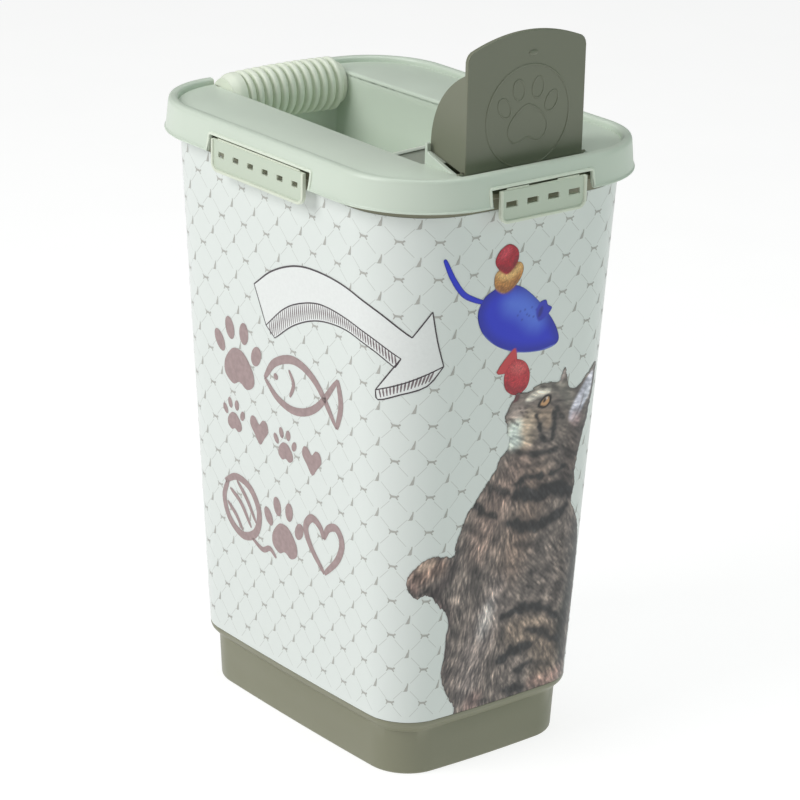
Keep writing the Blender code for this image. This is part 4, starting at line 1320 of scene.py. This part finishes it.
    def build_notch_rims(self) -> None:
        """A raised rim round each clip's notch in the skirt."""
        section = [(o, z) for o, z in self.section(Zone.PLAIN) if o > 2.9 and 439.4 < z < 452.8][:-4]
        for side, half in ((Side.FRONT, 45.0), (Side.RIGHT, 60.0), (Side.BACK, 45.0), (Side.LEFT, 60.0)):
            reach = 158.7 if side in (Side.FRONT, Side.BACK) else 117.4
            section_z = [z for _, z in section][::-1]
            section_o = [o for o, _ in section][::-1]
            path = [(-half - 1.0, z) for z in np.linspace(439.6, 450.6, 8)]
            path += [(-half - 0.6, 451.5), (-half + 0.4, 452.0)]
            over = [(x, 452.0) for x in np.linspace(-half + 3, half - 3, 24)]
            path = path + over + [(-x, z) for x, z in reversed(path)]
            rings = []
            for (x, z), (nx, nz) in zip(path, path[1:] + path[-1:]):
                step = np.array([nx - x, nz - z]) if (nx, nz) != (x, z) else step
                side_way = np.array([-step[1], step[0]]) / np.hypot(*step)
                face = -reach - np.interp(z, section_z, section_o)
                ring = [(x + side_way[0] * s, max(face - h, -reach - 7.1), z + side_way[1] * s)
                        for s, h in ((-1.2, -0.6), (-1.1, 0.6), (-0.6, 1.1), (0.6, 1.1), (1.1, 0.6),
                                     (1.2, -0.6))]
                rings.append(np.array(ring))
            # The rims take the lighter rim sage: painted highlight for the light their raised edges catch.
            obj = finish_mesh(f"notch_rim_{side.name.lower()}", turned(closed_loft(rings), side),
                              Palette.RIM_HIGHLIGHT.material(), sharp=60.0)
            mount(obj, self.body, self.slot)

    def build(self) -> None:
        """Build every piece of the lid."""
        self.build_shell()
        self.build_tray()
        self.build_guards()
        self.build_crest()
        self.build_notch_rims()


@dataclass
class CarryGrip:
    """The ribbed grip that spans the back of the hand recess."""

    body: str = "lid"
    end_x: float = 52.7
    first_rib_x: float = -36.4
    pitch: float = 7.35
    ribs: int = 12

    def size_at(self, x: np.ndarray) -> np.ndarray:
        """The grip's size at places along it, as a share of a rib's."""
        cap = 0.99 - 0.13 * smoothstep(0.0, 1.0, (-x - 44.5) / 8.2) ** 1.6
        cap = np.where(x < self.first_rib_x - 4.9, cap, 0.78)
        index = np.clip(np.round((x - self.first_rib_x) / self.pitch), 0, self.ribs - 1)
        away = np.abs(x - self.first_rib_x - index * self.pitch)
        rib = 0.78 + 0.22 * np.clip(1 - (away / 2.75) ** 4, 0, 1) ** 0.5
        return np.where(x < self.first_rib_x - 3.6, cap, rib)

    def build(self) -> bpy.types.Object:
        """Loft ovals along the grip, cut to its seat on the shelf.

        Returns:
            The grip, which stands for its node.
        """
        xs = np.concatenate([np.linspace(-self.end_x, -44.0, 14), [-42.0, -41.4, -41.2]])
        for i in range(self.ribs):
            xs = np.concatenate([xs, self.first_rib_x + self.pitch * i + np.array(
                [-2.8, -2.7, -2.5, -2.1, -1.4, -0.6, 0.6, 1.4, 2.1, 2.5, 2.7, 2.8])])
        xs = np.append(xs, self.end_x)
        sizes = self.size_at(xs)
        turn = np.linspace(0, 2 * math.pi, 72, endpoint=False)
        rings = []
        for x, size in zip(xs, sizes):
            lift = 1.5 * (1 - (x / self.end_x) ** 2)
            y = 141.0 + size * 17.5 * np.cos(turn)
            z = 447.0 + lift + size * 20.5 * np.sin(turn)
            seat = (y > 143.7) & (z < 452.6)
            nearer_wall = seat & (y - 143.7 < 452.6 - z)
            y = np.where(nearer_wall, 143.7, y)
            z = np.where(seat & ~nearer_wall, 452.6, z)
            rings.append(np.column_stack([np.full(72, x), y, z]))
        obj = finish_mesh("carry_grip_ribbed", closed_loft(rings), Palette.GRIP.material(), sharp=50.0)
        return mount(obj, self.body, "grip_plastic", "carry_grip")


# ==================================================================================================
# Pour flap
# ==================================================================================================
@dataclass
class PourFlap:
    """The dark flap that stands open: an arched panel with two cheeks and an embossed roundel."""

    body: str = "flap"
    half: float = 52.5
    front_y: float = -143.0
    thick: float = 2.2

    def face(self, edge: float, y: float) -> list[tuple[float, float, float]]:
        """The panel's outline from the front, moved in by an edge, at a depth."""
        half, side_z, top_z = self.half - edge, 537.0 - edge * 0.5, 552.0 - edge
        points = [(-half, y, 440.0), (half, y, 440.0), (half, y, side_z - 1.0), (half - 0.6, y, side_z + 1.4),
                  (half - 1.9, y, side_z + 3.7)]
        for t in np.linspace(1, -1, 33):
            points.append(((half - 4.0) * t, y, side_z + 5.5 + (top_z - side_z - 5.5) * (1 - t * t)))
        points += [(-half + 1.9, y, side_z + 3.7), (-half + 0.6, y, side_z + 1.4), (-half, y, side_z - 1.0)]
        return points

    def profile(self) -> list[tuple[float, float, float]]:
        """The flap's outline from the side."""
        back_y = self.front_y + self.thick + 1.2
        start, end = Vector((back_y, 526.5)), Vector((-104.5, 466.4))
        across = (end - start).orthogonal().normalized()
        across = -across if across.x < 0 else across
        points = [(self.front_y, HINGE_Z), (self.front_y, 553.0), (back_y, 553.0)]
        for t in np.linspace(0, 1, 31):
            point = start.lerp(end, t) + across * 11.0 * 4 * t * (1 - t)
            points.append((point.x, point.y))
        points += [(-136.5, 458.8), (HINGE_Y + 1.6, HINGE_Z)]
        return [(-self.half, y, z) for y, z in points]

    def build_shell(self) -> None:
        """Carve the panel and cheeks out of one block and add the hinge."""
        obj = finish_mesh("flap_shell", prism(self.profile(), (2 * self.half, 0, 0)), Palette.FLAP.material())
        carve(obj, [("INTERSECT", prism(self.face(0.0, self.front_y - 5.0), (0, 70, 0))),
                    ("DIFFERENCE", prism(self.face(self.thick, self.front_y + self.thick), (0, 70, 0)))])
        soften(obj, 0.7)
        mount(obj, self.body, "flap_plastic", "pour_flap")
        for name, reach, radius in (("knuckle", self.half, 2.4), ("pins", 57.0, 1.6)):
            bm = rod(-reach, reach, HINGE_Y, HINGE_Z, radius)
            mount(soften(finish_mesh(f"flap_{name}", bm, Palette.FLAP.material()), 0.3, 2), self.body,
                  "flap_plastic")

    def raised_line(self, name: str, points: Sequence[Point2], radius: float, closed: bool = True) -> None:
        """A fine rounded line standing on the panel's front."""
        line = np.array(points)
        step = np.roll(line, -1, axis=0) - np.roll(line, 1, axis=0)
        out = np.column_stack([step[:, 1], -step[:, 0]]) / np.hypot(*step.T)[:, None]
        rings = [np.column_stack([line[:, 0] + out[:, 0] * radius * math.cos(t),
                                  np.full(len(line), self.front_y + 0.12 - radius * 0.8 * math.sin(t)),
                                  line[:, 1] + out[:, 1] * radius * math.cos(t)])
                 for t in np.linspace(0, 2 * math.pi, 12, endpoint=False)]
        obj = finish_mesh(name, closed_loft(rings, torus=closed), Palette.FLAP.material(), sharp=70.0)
        mount(obj, self.body, "flap_plastic")

    def build_roundel(self) -> None:
        """The embossed ring, a plain paw inside it and a small oval above."""
        turn = np.linspace(0, 2 * math.pi, 120, endpoint=False)
        self.raised_line("roundel_ring", list(zip(1.5 + 37.0 * np.cos(turn), 492.0 + 36.0 * np.sin(turn))),
                         0.75)
        pad = [(-16, 478), (-10, 474), (0, 477), (10, 474), (16, 478), (17, 486), (10, 495), (0, 500),
               (-10, 495), (-17, 486)]
        self.raised_line("roundel_pad", closed_spline([(1.5 + x, z) for x, z in pad], 8), 0.65)
        for i, (x, z, lean) in enumerate(((-21, 500, 0.5), (-8.5, 511, 0.15), (8.5, 511, -0.15),
                                          (21, 500, -0.5))):
            wide, tall = 5.0 * np.cos(turn[::3]), 7.5 * np.sin(turn[::3])
            toe = zip(1.5 + x + wide * math.cos(lean) - tall * math.sin(lean),
                      z + wide * math.sin(lean) + tall * math.cos(lean))
            self.raised_line(f"roundel_toe_{i + 1}", list(toe), 0.65)
        bm = bmesh.new()
        place = Matrix.Translation((4.5, self.front_y, 536.0)) @ Matrix.Diagonal((4.2, 0.9, 2.0, 1.0))
        bmesh.ops.create_uvsphere(bm, u_segments=28, v_segments=16, radius=1.0, matrix=place)
        mount(finish_mesh("flap_catch", bm, Palette.FLAP.material()), self.body, "flap_plastic")

    def build(self) -> None:
        """Build the flap and its embossing."""
        self.build_shell()
        self.build_roundel()


# ==================================================================================================
# Clips
# ==================================================================================================
@dataclass
class Clip:
    """A windowed side clip hanging on a thin web."""

    side: Side
    face: float
    half: float
    windows: int
    window_wide: float
    pitch: float
    body: str
    slot_gap: float = 0.0

    def outline(self, edge: float, lift: float = 0.0) -> list[tuple[float, float, float]]:
        """The plate's outline facing the front, moved in by an edge."""
        low, high, half, radius = 426.0 + edge, 449.6 + lift, self.half - edge, 7.0 - edge
        points = [(half, 0.0, high), (-half, 0.0, high)]
        for start, side in ((180, -1), (270, 1)):
            for step in np.radians(start + np.linspace(0, 90, 13)):
                points.append((side * (half - radius) + radius * math.cos(step), 0.0,
                               low + radius + radius * math.sin(step)))
        return points

    def shade_field(self, obj: bpy.types.Object) -> None:
        """Give the sunk field a slightly rougher finish and a darker colour, which is painted shade setting
        it below the lighter rim.
        """
        obj.data.materials.append(Palette.CLIP_FIELD_SHADE.material())
        across = 1 if self.side in (Side.FRONT, Side.BACK) else 0
        for face in obj.data.polygons:
            if abs(face.normal[across]) > 0.99 and abs(abs(face.center[across]) - self.face * MM) < 0.1 * MM:
                face.material_index = 1

    def build(self) -> bpy.types.Object:
        """Carve the plate, its sunk field and windows, and add hooks and web.

        Returns:
            The plate, which stands for the whole clip's node.
        """
        front = -self.face - 1.2
        plate = prism([(x, front, z) for x, _, z in self.outline(0.0)], (0, 3.2, 0))
        name = f"clip_{self.side.name.lower()}"
        obj = finish_mesh(f"{name}_plate", turned(plate, self.side), Palette.CLIP.material())
        field_cut = prism([(x, front - 3.0, z) for x, _, z in self.outline(2.1, 6.0)], (0, 4.2, 0))
        steps = [("DIFFERENCE", turned(field_cut, self.side))]
        for i in range(self.windows):
            x, wide = self.pitch * (i - (self.windows - 1) / 2), self.window_wide / 2
            window = block((x - wide, -self.face - 5, 437.2), (x + wide, -self.face + 8, 441.2))
            steps.append(("DIFFERENCE", turned(window, self.side)))
        carve(obj, steps)
        self.shade_field(obj)
        soften(obj, 0.45, 2)
        mount(obj, self.body, "clip_plastic", name)
        for i in range(self.windows):
            x, wide = self.pitch * (i - (self.windows - 1) / 2), self.window_wide / 2
            hook = block((x - wide, -self.face + 1.5, 433.6), (x + wide, -self.face + 4.6, 436.8))
            hook = finish_mesh(f"{name}_hook_{i + 1}", turned(hook, self.side), Palette.CLIP.material())
            mount(soften(hook, 0.5, 2), self.body, "clip_plastic")
        reach, gap = self.half - 6.0, self.slot_gap / 2
        for i, (low, high) in enumerate([(-reach, reach)] if not gap else [(-reach, -gap), (gap, reach)]):
            web = block((low, -self.face + 0.55, 448.0), (high, -self.face + 1.45, 450.5))
            web = finish_mesh(f"{name}_web_{i + 1}", turned(web, self.side), Palette.CLIP.material())
            mount(soften(web, 0.2, 2), self.body, "clip_plastic")
        return obj


# ==================================================================================================
# Stage
# ==================================================================================================
@dataclass(frozen=True)
class Studio:
    """Camera, soft lights and a pale floor."""

    azimuth: float = -38.484
    elevation: float = 19.984
    target: tuple[float, float, float] = (9.4, 0.0, 240.3)
    distance: float = 2428.7
    lens: float = 146.8
    roll: float = 1.36

    def build_camera(self) -> None:
        """Place the camera on its target at the chosen angle."""
        turn, lift, roll = (math.radians(a) for a in (self.azimuth, self.elevation, self.roll))
        back = Vector((math.sin(turn) * math.cos(lift), -math.cos(turn) * math.cos(lift), math.sin(lift)))
        right = Vector((0, 0, 1)).cross(back).normalized()
        up = back.cross(right)
        right, up = (right * math.cos(roll) + up * math.sin(roll),
                     -right * math.sin(roll) + up * math.cos(roll))
        place = Matrix((right, up, back)).transposed().to_4x4()
        place.translation = (Vector(self.target) + back * self.distance) * MM
        data = bpy.data.cameras.new("main_camera")
        data.lens = self.lens
        data.sensor_width = 36.0
        camera = bpy.data.objects.new("main_camera", data)
        camera.matrix_world = place
        bpy.context.scene.collection.objects.link(camera)
        bpy.context.scene.camera = camera

    def add_light(self, name: str, place: tuple, size: float, power: float,
                  colour: tuple = (1, 1, 1)) -> None:
        """A square soft light aimed at the bin."""
        data = bpy.data.lights.new(name, "AREA")
        data.size, data.energy, data.color = size, power, colour
        light = bpy.data.objects.new(name, data)
        light.location = place
        light.rotation_euler = (Vector((0, 0, 0.25)) - Vector(place)).to_track_quat("-Z", "Y").to_euler()
        bpy.context.scene.collection.objects.link(light)

    def build(self) -> None:
        """Build the camera, lights, world and floor."""
        self.build_camera()
        self.add_light("key_left", (-2.3, 0.45, 1.9), 1.5, 47.0)
        self.add_light("top", (0.1, -0.1, 2.6), 2.2, 27.0)
        self.add_light("fill_front", (1.5, -2.4, 1.5), 1.4, 9.0, (0.62, 1.0, 0.84))
        world = bpy.data.worlds.new("pale_world")
        world.use_nodes = True
        world.node_tree.nodes["Background"].inputs["Color"].default_value = (0.93, 1.0, 0.97, 1.0)
        world.node_tree.nodes["Background"].inputs["Strength"].default_value = 0.11
        bpy.context.scene.world = world
        bm = bmesh.new()
        bmesh.ops.create_circle(bm, cap_ends=True, segments=96, radius=14000.0)
        mat = Palette.FLOOR.material()
        shader = mat.node_tree.nodes["Principled BSDF"]
        shader.inputs["Emission Color"].default_value = (1.0, 1.0, 1.0, 1.0)
        shader.inputs["Emission Strength"].default_value = 0.82
        floor = finish_mesh("floor", bm, mat)
        bpy.context.scene.view_settings.view_transform = "Standard"


def main() -> None:
    """Build the bin and its stage in order."""
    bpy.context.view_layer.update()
    Tub().build()
    Sleeve().build()
    Artwork().build()
    Lid().build()
    CarryGrip().build()
    PourFlap().build()
    for clip in (Clip(Side.FRONT, 164.6, 38.5, 4, 10.0, 18.7, "front_clip", 26.0),
                 Clip(Side.RIGHT, 123.3, 55.0, 6, 7.0, 17.6, "right_clip"),
                 Clip(Side.BACK, 164.6, 38.5, 4, 10.0, 18.7, "back_clip", 26.0),
                 Clip(Side.LEFT, 123.3, 55.0, 6, 7.0, 17.6, "left_clip")):
        clip.build()
    Studio().build()


if __name__ == "__main__":
    main()
